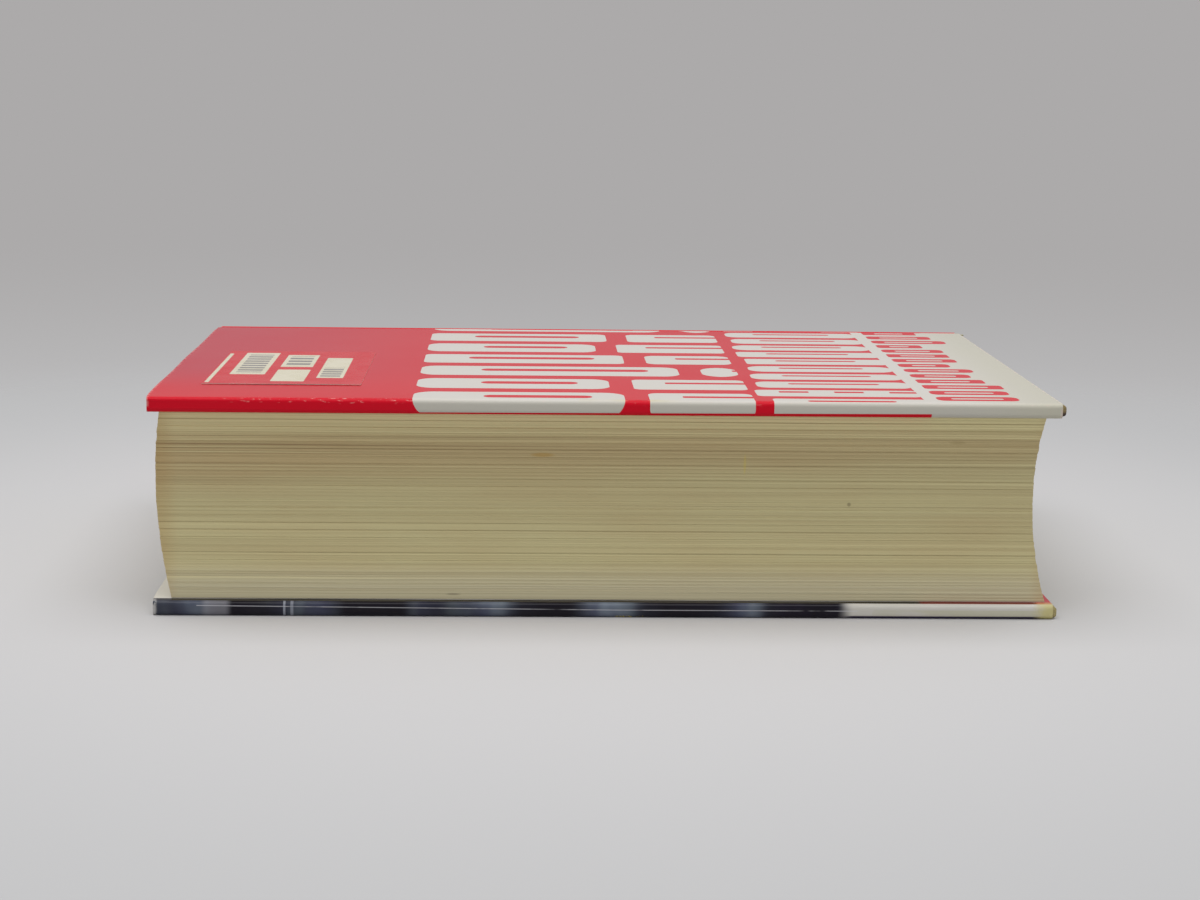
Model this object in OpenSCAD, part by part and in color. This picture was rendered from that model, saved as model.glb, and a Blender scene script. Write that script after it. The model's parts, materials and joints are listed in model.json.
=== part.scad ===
// Thick case-bound book in a loose paper jacket, closed and lying on its back cover.
// The head of the book points to +X, the fore-edge to -Y, the spine to +Y and the front cover up.
// The origin is on the surface that the book lies on, under the middle of its outline.

/* [Pages] */
// Height of a page, tail to head
page_h = 234; // [120:1:320]
// Width of a page, fold to fore-edge
page_w = 155.6; // [90:0.1:240]
// Thickness of all the pages without the fly leaves
pages_t = 50.55; // [20:0.05:80]
// Folded sections that the pages are sewn from
sections = 25; // [6:1:40]
// Depth of the groove between two sections along the cut edges
section_groove_d = 0.25; // [0.05:0.05:0.6]
// Width of the groove between two sections
section_groove_w = 0.14; // [0.05:0.01:0.4]
// Radius of the rounded spine and of the hollow fore-edge
round_r = 102; // [60:1:240]
// Height of the backed shoulders above the faces of the pages
shoulder_h = 2.1; // [1:0.1:2.1]
// Width over which a shoulder flares out
shoulder_w = 6; // [3:0.1:7]
// How much nearer the spine the last page lies than the first
lean = 1.9; // [0:0.1:5]
// How far the middle pages have sunk towards the tail
sag = 2.8; // [0.5:0.1:6]
// How much nearer the tail the first page lies than the last
slip = 2.1; // [0:0.1:5]
// Thickness of an end paper
leaf_t = 0.15; // [0.08:0.01:0.4]

/* [Case] */
// Thickness of a board
board_t = 3.1; // [1.5:0.1:5]
// Rounding of a board's outer edges, at most a little less than half its thickness
board_edge_r = 1.3; // [0.2:0.1:1.5]
// Rounding of a board's corners seen from above
board_corner_r = 1.2; // [0.4:0.1:4]
// Overhang of the covers past the pages at the head and at the tail
square_end = 3.65; // [1:0.05:8]
// Overhang of the covers past the pages at the fore-edge
square_fore = 3.4; // [1:0.1:8]
// Width of the joint between a board and the shoulder
joint_w = 7.8; // [7.6:0.1:14]
// Gap that parts each board from the joint strips
joint_gap = 0.5; // [0.4:0.05:1]
// Inner radius of the cloth where it turns into a joint
well_inner_r = 0.4; // [0.2:0.05:0.6]
// Thickness of the book cloth
cloth_t = 0.3; // [0.15:0.05:0.6]
// Width of cloth turned in over the inside of a board
turn_in = 15; // [8:1:25]
// Width of the slit where two turn-ins meet in a mitre
mitre_gap = 0.3; // [0.1:0.05:0.6]
// Thickness of a pastedown
paste_t = 0.2; // [0.1:0.05:0.4]
// Strip of turned-in cloth that a pastedown leaves bare
paste_margin = 3.5; // [1:0.1:8]
// How far the back cover is shifted towards the head
back_shift = 0.3; // [-2:0.1:2]

/* [Spine] */
// Thickness of the open cloth glued over the section folds
mull_t = 0.25; // [0.1:0.05:0.5]
// Gap between that cloth and the tape of a head band
mull_gap = 1; // [0.5:0.5:20]
// Width of the cloth tabs glued under each board
mull_tab_w = 25; // [10:1:40]
// Thickness of the paper liner
liner_t = 0.35; // [0.1:0.05:0.6]
// Air in the hollow back
hollow_t = 0.4; // [0.35:0.05:1.5]
// Thickness of the card strip that stiffens the spine
inlay_t = 0.7; // [0.3:0.1:1.5]
// How far the liner and the card stop short of the shoulders
inlay_margin = 1.5; // [0.5:0.1:5]
// Radius of the bead of a head band
bead_r = 0.7; // [0.5:0.1:1.6]
// Width of a head band's tape on the spine
band_w = 8; // [4:0.5:20]
// Thickness of that tape
band_t = 0.3; // [0.15:0.05:0.35]

/* [Jacket] */
// Thickness of the jacket paper
jacket_t = 0.2; // [0.1:0.05:0.4]
// Height of the jacket, tail to head
jacket_h = 240.7; // [120:0.1:330]
// How far the jacket has slipped past the tail edge of the covers
jacket_past_tail = 0.6; // [0:0.1:3]
// Width of a flap, from the fore-edge fold
flap_w = 90; // [40:1:130]
// Outer radius at the fore-edge folds
fold_r = 1.3; // [1:0.1:1.6]
// Air between a fold and the cloth, and over the shoulders
jacket_air = 0.1; // [0.05:0.05:0.5]
// How far the jacket dips over a joint
jacket_dip = 0.5; // [0.1:0.1:1.2]

/* [Label] */
// Width of the label, along the book
label_l = 43; // [20:1:80]
// Height of the label, across the book
label_w = 68; // [30:1:100]
// Thickness of the label
label_t = 0.12; // [0.05:0.01:0.3]
// Distance from the tail edge of the jacket
label_from_tail = 11.5; // [2:0.5:60]
// Distance from the fore-edge
label_from_fore = 24; // [5:1:60]
// Rounding of the label's corners
label_r = 1; // [0.5:0.5:4]

/* [Hidden] */
$fn = 48;

// Heights, from the surface up. The stack of a cover is jacket, cloth, board, pastedown, flap.
cover_t = 2*jacket_t + cloth_t + board_t + paste_t;
edge_r = min(board_edge_r, 0.45*board_t);
pages_lo = cover_t + leaf_t;
pages_hi = pages_lo + pages_t;
book_t = pages_hi + leaf_t + cover_t;
mid_z = book_t/2;
board_hi = book_t - jacket_t - cloth_t;
board_lo = board_hi - board_t;

// Lengths along the book, from the middle of the boards
cloth_l = page_h + 2*square_end;
board_l = cloth_l - 2*cloth_t;
jacket_tail = -cloth_l/2 - jacket_past_tail;

// Shape of the page edges: an arc in thickness, sheared by the lean
half_t = pages_t/2;
tip_h = half_t + shoulder_h;
function bow(z) = sqrt(round_r*round_r - z*z) - sqrt(round_r*round_r - half_t*half_t);
function fore_y(z) = square_fore + lean*(half_t - z)/pages_t + bow(z);
function spine_y(z) = fore_y(z) + page_w;
sag_r = (half_t*half_t + sag*sag)/(2*sag);
function end_shift(z) = -slip*z/pages_t - sqrt(sag_r*sag_r - z*z) + sag_r - sag;

// Shoulders: a flare that starts level with the pages and ends at the tip
flare_r = (shoulder_w*shoulder_w + shoulder_h*shoulder_h)/(2*shoulder_h);
flare_a = asin(shoulder_w/flare_r);
tip_a = asin(tip_h/round_r);
function tip(side) = [spine_y(side*tip_h), mid_z + side*tip_h];

// Widths, from the fore-edge of the front cover. The back cover lies further back by the lean.
cloth_y = jacket_t + jacket_air;
board_y = cloth_y + cloth_t;
board_end = tip(1)[0] - joint_w;
joint_start = board_end + joint_gap;
function joint_y(side) = joint_start + (side > 0 ? 0 : lean);

// Layers: over the joints and flares, and behind the spine
hinge_f = 2*leaf_t;
cloth_f = hinge_f + mull_t;
jacket_f = cloth_f + cloth_t + jacket_air;
liner_s = mull_t + liner_t;
inlay_s = liner_s + hollow_t;
cloth_s = inlay_s + inlay_t;
jacket_s = cloth_s + cloth_t + jacket_air;
// How far the turned-in end of the spine cloth reaches into the cloth behind it
end_overlap = cloth_t/2;
well_r = cloth_t + well_inner_r;
ridge_start = 90 + flare_a;
ridge_a = 100;
// The spine is drawn with straight steps, the same in all its layers, and so are the turns round
// the tips and the jacket over the joints
spine_steps = 24;
ridge_steps = 8;
drape_steps = 8;
spine_step = 2*tip_h/spine_steps;

// The open cloth ends short of the head bands, and its tabs short of the turn-ins too
mull_half = page_h/2 - sag - slip/2 - band_w - mull_gap;
tab_half = min(mull_half, board_l/2 - turn_in) - mull_gap;

// Middle of the book's outline, which is the origin
outer_spine = spine(jacket_s + jacket_t);
centre_x = (jacket_tail + max(cloth_l/2, back_shift + cloth_l/2))/2;
centre_y = max([for (p = outer_spine) p[0]])/2;

function reversed(points) = [for (i = [len(points) - 1:-1:0]) points[i]];

// Arc of radius r about c, from angle a0 to angle a1
function arc(c, r, a0, a1, steps = 6) = [
    for (i = [0:steps])
        let (a = a0 + (a1 - a0)*i/steps)
        c + r*[cos(a), sin(a)]
];

// Upper (side 1) or lower (side -1) copy of points given above the faces of the pages
function on_side(side, points) = [for (p = points) [p[0], mid_z + side*(half_t + p[1])]];

// Rounded corner where the cloth turns down beside a board, ending at distance f over the joint
function well(side, f, inset) = on_side(side, concat(
    [[joint_y(side) + inset, book_t - 2*jacket_t - pages_hi]],
    arc([joint_y(side) + well_r, f + well_r], well_r - inset, 180, 270)));

// Start of a strip that stays flat over the joint
function flat_start(side, f) = on_side(side, [[joint_y(side), f]]);

// Flare at distance f, from the joint to the tip
function flare(side, f) = on_side(side,
    arc([tip(side)[0] - shoulder_w, flare_r], flare_r - f, -90, -90 + flare_a));

// Turn round the tip, from distance f on the flare to distance s behind the spine.
// It may start part of the way round, at the angle given.
function ridge(side, f, s, from = ridge_start) = [
    for (i = [0:ridge_steps])
        let (a = from + (tip_a - from)*i/ridge_steps,
             turned = (ridge_start - a)/(ridge_start - tip_a),
             r = f + (s - f)*turned*turned)
        tip(side) + r*[cos(a), side*sin(a)]
];

// Point at distance s behind the rounded spine, at height z from the middle
function behind(s, z) = [spine_y(z), mid_z + z] + s*[sqrt(1 - z*z/(round_r*round_r)), z/round_r];

// Point on the straight step of the spine that passes height z
function on_step(s, z) =
    let (above = ceil(z/spine_step)*spine_step,
         share = (above - z)/spine_step)
    behind(s, above)*(1 - share) + behind(s, above - spine_step)*share;

// Rounded spine at distance s, from the upper tip to the lower one, less a margin at both ends
function spine(s, margin = 0) =
    let (end = tip_h - margin)
    concat([on_step(s, end)],
           [for (i = [0:spine_steps])
               let (z = tip_h - i*spine_step)
               if (abs(z) < end) behind(s, z)],
           [on_step(s, -end)]);

// Jacket over a joint, which dips between the board and the ridge
function drape(side, out) =
    let (a = [joint_y(side), book_t - jacket_t + out - mid_z],
         start = ridge(side, jacket_f + out, jacket_s + out, ridge_a)[0],
         b = [start[0], side*(start[1] - mid_z)])
    [for (i = [0:drape_steps - 1])
        let (u = i/drape_steps, p = a + (b - a)*u)
        [p[0], mid_z + side*(p[1] - 4*jacket_dip*u*(1 - u))]];

function jacket_line(out) = concat(
    drape(1, out), ridge(1, jacket_f + out, jacket_s + out, ridge_a),
    spine(jacket_s + out),
    reversed(ridge(-1, jacket_f + out, jacket_s + out, ridge_a)), reversed(drape(-1, out)));

function mull_line(out) = concat(
    flat_start(1, hinge_f + out), flare(1, hinge_f + out), ridge(1, hinge_f + out, out),
    spine(out),
    reversed(ridge(-1, hinge_f + out, out)), reversed(flare(-1, hinge_f + out)),
    flat_start(-1, hinge_f + out));

function cloth_line(out) = concat(
    well(1, cloth_f, out), flare(1, cloth_f + out), ridge(1, cloth_f + out, cloth_s + out),
    spine(cloth_s + out),
    reversed(ridge(-1, cloth_f + out, cloth_s + out)), reversed(flare(-1, cloth_f + out)),
    reversed(well(-1, cloth_f, out)));

// Level of the k-th groove between sections, from the middle
function groove_z(k) = half_t - pages_t*k/sections;

// A cut edge from the last page to the first, with a groove between each two sections.
// reach is how far the grooves go in, and a negative one goes the other way.
function cut_edge(reach, place) = concat(
    [place(-half_t)],
    [for (k = [sections - 1:-1:1])
        let (z = groove_z(k), w = section_groove_w/2)
        each [place(z - w), place(z - w) + [reach, 0], place(z + w) + [reach, 0], place(z + w)]],
    [place(half_t)]);

// Profile in the YZ plane drawn out along X, from x0 over a length l
module along_x(x0, l) {
    translate([x0 - centre_x, -centre_y, 0])
        rotate([90, 0, 90])
            linear_extrude(l)
                children();
}

// Profile in the XZ plane drawn out along Y, from y0 to y1
module along_y(y0, y1) {
    translate([-centre_x, y1 - centre_y, 0])
        rotate([90, 0, 0])
            linear_extrude(y1 - y0)
                children();
}

// Outline in the XY plane drawn up from z0 to z1
module along_z(z0, z1) {
    translate([-centre_x, -centre_y, z0])
        linear_extrude(z1 - z0)
            children();
}

// Strip between two lines
module strip(inner, outer) {
    polygon(concat(inner, reversed(outer)));
}

// Rectangle from the point a to the point b
module box_2d(a, b) {
    translate(a)
        square(b - a);
}

// Rectangle from a to b with rounded corners. Those on its high side in the first direction may
// stay square.
module round_2d(a, b, r, square_high = false) {
    high = square_high ? [] : [b[0] - r];
    union() {
        box_2d([a[0] + r, a[1]], [b[0] - (square_high ? 0 : r), b[1]]);
        box_2d([a[0], a[1] + r], [b[0], b[1] - r]);
        for (x = concat([a[0] + r], high), y = [a[1] + r, b[1] - r])
            translate([x, y])
                circle(r);
    }
}

// Turns what is modelled for the front cover over, into the place of the back cover
module as_back() {
    translate([back_shift, lean, book_t])
        mirror([0, 0, 1])
            children();
}

// Slab of a cover, rounded at its head, tail and fore-edge and square at the joint, where it ends at y1.
// It leaves room for a skin of thickness t all round, and is rounded to r there.
module cover_slab(t, r, corner_r, y1) {
    y0 = cloth_y + t;
    z0 = board_lo + t;
    z1 = board_hi + cloth_t - t;
    half_l = cloth_l/2 - t;
    intersection() {
        along_x(-half_l, 2*half_l)
            round_2d([y0, z0], [y1, z1], r, square_high = true);
        along_y(y0, y1)
            round_2d([-half_l, z0], [half_l, z1], r);
        along_z(z0, z1)
            mirror([1, -1])
                round_2d([y0, -half_l], [y1, half_l], corner_r, square_high = true);
    }
}

// Middle of a board's inside, which the turned-in cloth leaves bare
module bare_board(y1) {
    along_z(board_lo, board_lo + cloth_t)
        box_2d([-board_l/2 + turn_in, board_y + turn_in], [board_l/2 - turn_in, y1]);
}

// Room that the tabs of the spine cloth take under a board
module tab_room() {
    along_z(board_lo, board_lo + mull_t)
        box_2d([-tab_half, board_end - mull_tab_w], [tab_half, board_end]);
}

module board() {
    difference() {
        union() {
            cover_slab(cloth_t, edge_r, board_corner_r, board_end);
            bare_board(board_end);
        }
        tab_room();
    }
}

module cover_cloth() {
    difference() {
        cover_slab(0, edge_r + cloth_t, board_corner_r + cloth_t, board_end);
        cover_slab(cloth_t, edge_r, board_corner_r, board_end + joint_gap);
        bare_board(board_end + joint_gap);
        for (end = [-1, 1])
            translate([end*board_l/2 - centre_x, board_y - centre_y, board_lo])
                rotate(end > 0 ? 135 : 45)
                    translate([board_corner_r, -mitre_gap/2, 0])
                        cube([turn_in*sqrt(2) + mitre_gap - board_corner_r, mitre_gap, cloth_t]);
    }
}

module pastedown() {
    along_z(board_lo - paste_t, board_lo)
        box_2d([-cloth_l/2 + paste_margin, cloth_y + paste_margin],
               [cloth_l/2 - paste_margin, board_end]);
}

// Outer line of a cover's jacket, or its inner one at jacket_t: panel, fold, flap
function panel_line(inset) = concat(
    [[board_end, book_t - inset]],
    arc([fold_r, book_t - fold_r], fold_r - inset, 90, 180),
    arc([fold_r, book_t - cover_t + fold_r], fold_r - inset, 180, 270),
    [[flap_w, book_t - cover_t + inset]]);

module jacket_panel() {
    along_x(jacket_tail, jacket_h)
        strip(panel_line(jacket_t), panel_line(0));
}

// End paper: one leaf over the pages, doubled over the joint and the shoulder
module flyleaf(side) {
    edge_y = fore_y(side*half_t);
    shift = end_shift(side*half_t);
    color("antiquewhite")
        along_x(shift - page_h/2, page_h)
            strip(concat(on_side(side, [[edge_y, 0]]), flare(side, 0)),
                  concat(on_side(side, [[edge_y, leaf_t], [joint_y(side), leaf_t]]),
                         flat_start(side, hinge_f), flare(side, hinge_f)));
}

// Closed skin over a row of equal rings of points
module skin(rings) {
    n = len(rings[0]);
    last = len(rings) - 1;
    polyhedron(
        points = [for (ring = rings) each ring],
        faces = concat(
            [[for (j = [0:n - 1]) j]],
            [for (i = [0:last - 1], j = [0:n - 1])
                [i*n + j, (i + 1)*n + j, (i + 1)*n + (j + 1) % n, i*n + (j + 1) % n]],
            [[for (j = [n - 1:-1:0]) last*n + j]]));
}

// Section of a head band: a tape on the spine with a bead that stands over the page ends.
// The first value is measured out of the end of the pages, the second out of the spine.
band_section = concat(
    [[-band_w, 0], [jacket_air/2, 0]],
    arc([jacket_air/2 + bead_r, band_t - bead_r], bead_r, 180, 450, 9),
    [[-band_w, band_t]]);

// Band along the rounded spine at the head (end 1) or the tail (end -1)
module band(end) {
    rings = [
        for (i = [1:spine_steps - 1])
            let (z = tip_h*(1 - 2*i/spine_steps),
                 n = [sqrt(1 - z*z/(round_r*round_r)), z/round_r],
                 x = end*page_h/2 + end_shift(z))
            [for (p = band_section)
                [x + end*p[0] - centre_x,
                 spine_y(z) + p[1]*n[0] - centre_y,
                 mid_z + z + p[1]*n[1]]]
    ];
    skin(end > 0 ? rings : reversed(rings));
}

module text_block() {
    color("tan")
        intersection() {
            along_x(-page_h, 2*page_h)
                polygon(concat(flare(1, 0), spine(0), reversed(flare(-1, 0)),
                               cut_edge(section_groove_d, function(z) [fore_y(z), mid_z + z])));
            along_y(-page_w, 2*page_w)
                polygon(concat(
                    [[end_shift(tip_h) + page_h/2, mid_z + tip_h],
                     [end_shift(tip_h) - page_h/2, mid_z + tip_h]],
                    reversed(cut_edge(section_groove_d,
                                      function(z) [end_shift(z) - page_h/2, mid_z + z])),
                    [[end_shift(-tip_h) - page_h/2, mid_z - tip_h],
                     [end_shift(-tip_h) + page_h/2, mid_z - tip_h]],
                    cut_edge(-section_groove_d,
                             function(z) [end_shift(z) + page_h/2, mid_z + z])));
        }
}

module front_flyleaf() {
    flyleaf(1);
}

module back_flyleaf() {
    flyleaf(-1);
}

module spine_mull() {
    color("gainsboro")
        along_x(-mull_half, 2*mull_half)
            strip(mull_line(0), mull_line(mull_t));
}

module spine_liner() {
    color("burlywood")
        along_x(-mull_half, 2*mull_half)
            strip(spine(mull_t, inlay_margin), spine(liner_s, inlay_margin));
}

module head_band() {
    color("ivory")
        band(1);
}

module tail_band() {
    color("ivory")
        band(-1);
}

module spine_inlay() {
    color("darkgray")
        along_x(-board_l/2, board_l)
            strip(spine(inlay_s, inlay_margin), spine(cloth_s, inlay_margin));
}

// Cloth of the case behind the spine and over both joints, turned in round the card at each end
module spine_cloth() {
    color([0.72, 0.70, 0.56])
        union() {
            along_x(-cloth_l/2, cloth_l)
                strip(cloth_line(0), cloth_line(cloth_t));
            for (end = [-1, 1]) {
                along_x(end > 0 ? cloth_l/2 - cloth_t : -cloth_l/2, cloth_t)
                    strip(spine(inlay_s - cloth_t, inlay_margin), spine(cloth_s + end_overlap, inlay_margin));
                along_x(end > 0 ? cloth_l/2 - turn_in : -cloth_l/2, turn_in)
                    strip(spine(inlay_s - cloth_t, inlay_margin), spine(inlay_s, inlay_margin));
            }
        }
}

module jacket_spine() {
    color([0.8, 0.2, 0.2])
        along_x(jacket_tail, jacket_h)
            strip(jacket_line(0), jacket_line(jacket_t));
}

module front_board() {
    color([0.55, 0.5, 0.42])
        board();
}

module front_mull_tab() {
    color("gainsboro")
        tab_room();
}

module front_cloth() {
    color([0.72, 0.70, 0.56])
        cover_cloth();
}

module front_pastedown() {
    color("antiquewhite")
        pastedown();
}

module jacket_front() {
    color([0.75, 0.15, 0.17])
        jacket_panel();
}

module label() {
    x0 = jacket_tail + label_from_tail;
    color([0.75, 0.12, 0.14])
        along_z(book_t, book_t + label_t)
            round_2d([x0, label_from_fore], [x0 + label_l, label_from_fore + label_w], label_r);
}

module back_board() {
    color([0.55, 0.5, 0.42])
        as_back()
            board();
}

module back_mull_tab() {
    color("gainsboro")
        as_back()
            tab_room();
}

module back_cloth() {
    color([0.72, 0.70, 0.56])
        as_back()
            cover_cloth();
}

module back_pastedown() {
    color("antiquewhite")
        as_back()
            pastedown();
}

module jacket_back() {
    color([0.13, 0.12, 0.16])
        as_back()
            jacket_panel();
}

text_block();
front_flyleaf();
back_flyleaf();
spine_mull();
spine_liner();
head_band();
tail_band();
spine_inlay();
spine_cloth();
jacket_spine();
front_board();
front_mull_tab();
front_cloth();
front_pastedown();
jacket_front();
label();
back_board();
back_mull_tab();
back_cloth();
back_pastedown();
jacket_back();
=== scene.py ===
import json
import math

import bpy
import numpy as np
from bpy.props import FloatProperty, FloatVectorProperty, IntProperty, PointerProperty
from mathutils import Matrix, Vector


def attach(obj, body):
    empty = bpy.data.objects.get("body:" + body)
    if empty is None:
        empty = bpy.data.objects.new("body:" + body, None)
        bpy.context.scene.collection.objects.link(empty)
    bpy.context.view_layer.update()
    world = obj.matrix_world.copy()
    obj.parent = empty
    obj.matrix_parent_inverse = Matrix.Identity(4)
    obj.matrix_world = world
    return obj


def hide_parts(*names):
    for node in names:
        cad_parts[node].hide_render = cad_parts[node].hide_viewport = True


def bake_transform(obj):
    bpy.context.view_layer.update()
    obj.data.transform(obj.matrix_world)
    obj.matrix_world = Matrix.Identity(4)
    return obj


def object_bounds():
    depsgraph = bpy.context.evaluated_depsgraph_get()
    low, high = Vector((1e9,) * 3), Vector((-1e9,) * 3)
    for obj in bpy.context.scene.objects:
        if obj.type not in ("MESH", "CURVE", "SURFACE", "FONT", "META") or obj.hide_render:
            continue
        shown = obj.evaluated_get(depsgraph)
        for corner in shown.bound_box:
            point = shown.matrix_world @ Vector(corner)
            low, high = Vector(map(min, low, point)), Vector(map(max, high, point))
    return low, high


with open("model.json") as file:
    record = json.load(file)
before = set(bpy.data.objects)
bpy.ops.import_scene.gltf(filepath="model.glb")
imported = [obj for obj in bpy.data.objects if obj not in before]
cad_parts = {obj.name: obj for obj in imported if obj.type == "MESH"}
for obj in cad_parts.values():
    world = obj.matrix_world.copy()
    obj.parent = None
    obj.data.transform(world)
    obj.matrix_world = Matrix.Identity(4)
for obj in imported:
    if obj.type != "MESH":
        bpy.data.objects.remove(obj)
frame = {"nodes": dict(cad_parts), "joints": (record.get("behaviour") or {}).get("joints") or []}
CAD_BOX = [list(corner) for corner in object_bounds()]

bl_info = {
    "name": "Case-bound book",
    "version": (1, 0, 0),
    "blender": (4, 5, 0),
    "location": "3D View > Sidebar > Book",
    "description": "Dresses the solids of a thick hardback in pages, cloth, jacket and label",
    "category": "Object",
}


def written(r, g, b):
    """Linear colour of the three screen values from 0 to 255: the 2.4 power of the screen curve."""
    c = np.array([r, g, b]) / 255
    return tuple(np.where(c <= 0.04045, c / 12.92, ((c + 0.055) / 1.055) ** 2.4).tolist())


def length(name, description, default):
    """Property for a length in metres."""
    return FloatProperty(name=name, description=description, default=default, min=0, unit="LENGTH",
                         precision=5)


def tint(name, description, rgb):
    """Property for a colour, given by its three screen values."""
    return FloatVectorProperty(name=name, description=description, default=written(*rgb), size=3,
                               min=0, max=1, subtype="COLOR")


def share(name, description, default):
    """Property for a part of one."""
    return FloatProperty(name=name, description=description, default=default, min=0, max=1,
                         subtype="FACTOR")


class BookSizes(bpy.types.PropertyGroup):
    """Sizes of the solids, which the pieces follow"""

    page_h: length("Page height", "Height of a page, tail to head", 0.234)
    page_w: length("Page width", "Width of a page, fold to fore-edge", 0.1556)
    pages_t: length("Pages", "Thickness of all the pages", 0.05055)
    sections: IntProperty(name="Sections", description="Folded sections of pages", default=25,
                          min=2)
    groove_d: length("Groove depth", "Depth of the groove between two sections", 0.00025)
    groove_w: length("Groove width", "Width of the groove between two sections", 0.00014)
    round_r: length("Round", "Radius of the rounded spine and of the hollow fore-edge", 0.102)
    shoulder_h: length("Shoulder height", "Height of the shoulders above the pages", 0.0021)
    shoulder_w: length("Shoulder width", "Width over which a shoulder flares out", 0.006)
    lean: length("Lean", "How much nearer the spine the last page lies than the first", 0.0019)
    sag: length("Sag", "How far the middle pages have sunk towards the tail", 0.0028)
    slip: length("Slip", "How much nearer the tail the first page lies than the last", 0.0021)
    leaf_t: length("End paper", "Thickness of an end paper", 0.00015)
    board_t: length("Board", "Thickness of a board", 0.0031)
    square_end: length("Square at the ends", "Overhang of the covers at head and tail", 0.00365)
    square_fore: length("Square at the fore-edge", "Overhang of the covers there", 0.0034)
    joint_w: length("Joint", "Width of the joint between a board and the shoulder", 0.0078)
    joint_gap: length("Joint gap", "Gap that parts each board from the joint strips", 0.0005)
    cloth_t: length("Cloth", "Thickness of the book cloth", 0.0003)
    paste_t: length("Pastedown", "Thickness of a pastedown", 0.0002)
    paste_margin: length("Pastedown margin", "Strip of cloth that a pastedown leaves bare", 0.0035)
    back_shift: length("Back shift", "How far the back cover is shifted to the head", 0.0003)
    mull_t: length("Open cloth", "Thickness of the open cloth over the folds", 0.00025)
    mull_gap: length("Open cloth gap", "Gap between that cloth and a head band", 0.001)
    liner_t: length("Liner", "Thickness of the paper liner", 0.00035)
    hollow_t: length("Hollow", "Air in the hollow back", 0.0004)
    inlay_t: length("Inlay", "Thickness of the card that stiffens the spine", 0.0007)
    bead_r: length("Bead", "Radius of the bead of a head band", 0.0007)
    band_w: length("Band", "Width of a head band's tape on the spine", 0.008)
    band_t: length("Band thickness", "Thickness of that tape", 0.0003)
    jacket_t: length("Jacket", "Thickness of the jacket paper", 0.0002)
    jacket_h: length("Jacket height", "Height of the jacket, tail to head", 0.2407)
    jacket_past_tail: length("Jacket slip", "How far the jacket has slipped past the tail", 0.0006)
    flap_w: length("Flap", "Width of a flap, from the fore-edge fold", 0.09)
    fold_r: length("Fold", "Outer radius at the fore-edge folds", 0.0013)
    jacket_air: length("Jacket air", "Air between the jacket and the cloth", 0.0001)
    jacket_dip: length("Jacket dip", "How far the jacket dips over a joint", 0.0005)
    label_l: length("Label width", "Width of the label, along the book", 0.043)
    label_w: length("Label height", "Height of the label, across the book", 0.068)
    label_t: length("Label", "Thickness of the label", 0.00012)
    label_from_tail: length("Label from tail", "Distance from the jacket's tail edge", 0.0115)
    label_from_fore: length("Label from fore-edge", "Distance from the fore-edge", 0.024)


class BookLooks(bpy.types.PropertyGroup):
    """Colours of the book, how worn it is, and the strength of a painted highlight"""

    paper: tint("Page edges", "Cut edges of the pages", (199, 190, 145))
    paper_brown: tint("Browned edges", "Page edges that have browned most", (186, 157, 114))
    leaf: tint("End papers", "White end papers and the inside of the jacket", (216, 212, 200))
    red: tint("Red", "Red print of the jacket", (201, 12, 35))
    white: tint("White", "Unprinted parts of the jacket", (203, 199, 193))
    dark: tint("Dark", "Dark print of the back of the jacket", (20, 17, 27))
    haze: tint("Haze", "Soft blue-grey print of the back of the jacket", (78, 82, 106))
    cloth: tint("Cloth", "Book cloth of the case", (200, 194, 158))
    # The grime colour also serves as painted shade on the lower half of the front cover's corner.
    grime_and_shade: tint("Grime", "Rubbed corners of the case", (74, 58, 54))
    stain: tint("Stain", "Yellowed paper of the jacket", (196, 186, 128))
    gloss: share("Gloss", "Roughness of the laminated jacket", 0.24)
    # The wear share also sets the strength of the painted highlight along the back fold.
    wear_and_highlight: share("Wear", "Scuffs, stains and rubbed corners", 0.6)
    browning: share("Browning", "How far the page edges have browned", 0.55)


class BookStage(bpy.types.PropertyGroup):
    """Floor, light and camera"""

    floor: tint("Floor", "Paper under and in front of the book", (194, 193, 194))
    floor_rim: tint("Floor rim", "The same paper further away", (178, 178, 179))
    far_floor: tint("Far floor", "What is seen past the rim of the floor", (196, 196, 197))
    distance: tint("Distance", "What is seen higher up behind the book", (172, 170, 170))
    reach: FloatProperty(name="Reach", description="Radius of the floor", default=0.5, min=0.3,
                         unit="LENGTH")
    sky: FloatProperty(name="Sky", description="Strength of the even light", default=0.56, min=0)
    lamp: FloatProperty(name="Lamp", description="Power of the lamp above", default=20.0, min=0,
                        unit="POWER")
    lens: FloatProperty(name="Lens", description="Focal length on a 36 mm wide frame",
                        default=70.36, min=1, unit="CAMERA")


def turned(points, lean, height):
    """The same profile points for the back cover: y moves by the lean and z is measured from the
    top."""
    return np.column_stack([points[:, 0] + lean, height - points[:, 1]])


def joined(*parts):
    """Profile parts in a row, without a point that repeats the one before it."""
    points = np.concatenate(parts)
    step = np.linalg.norm(np.diff(points, axis=0), axis=1)
    return points[np.concatenate([[True], step > 1e-8])]


def straight(a, b, count):
    """Evenly spaced points from a to b."""
    return np.linspace(a, b, count)


def arc(centre, radius, start, end, count):
    """Points at one distance from a centre, from one angle in degrees to another."""
    a = np.radians(np.linspace(start, end, count))
    return np.column_stack([centre[0] + radius * np.cos(a), centre[1] + radius * np.sin(a)])


def smooth(t):
    """Cubic that rises from 0 to 1 with level ends."""
    t = np.clip(t, 0, 1)
    return t * t * (3 - 2 * t)


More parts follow.
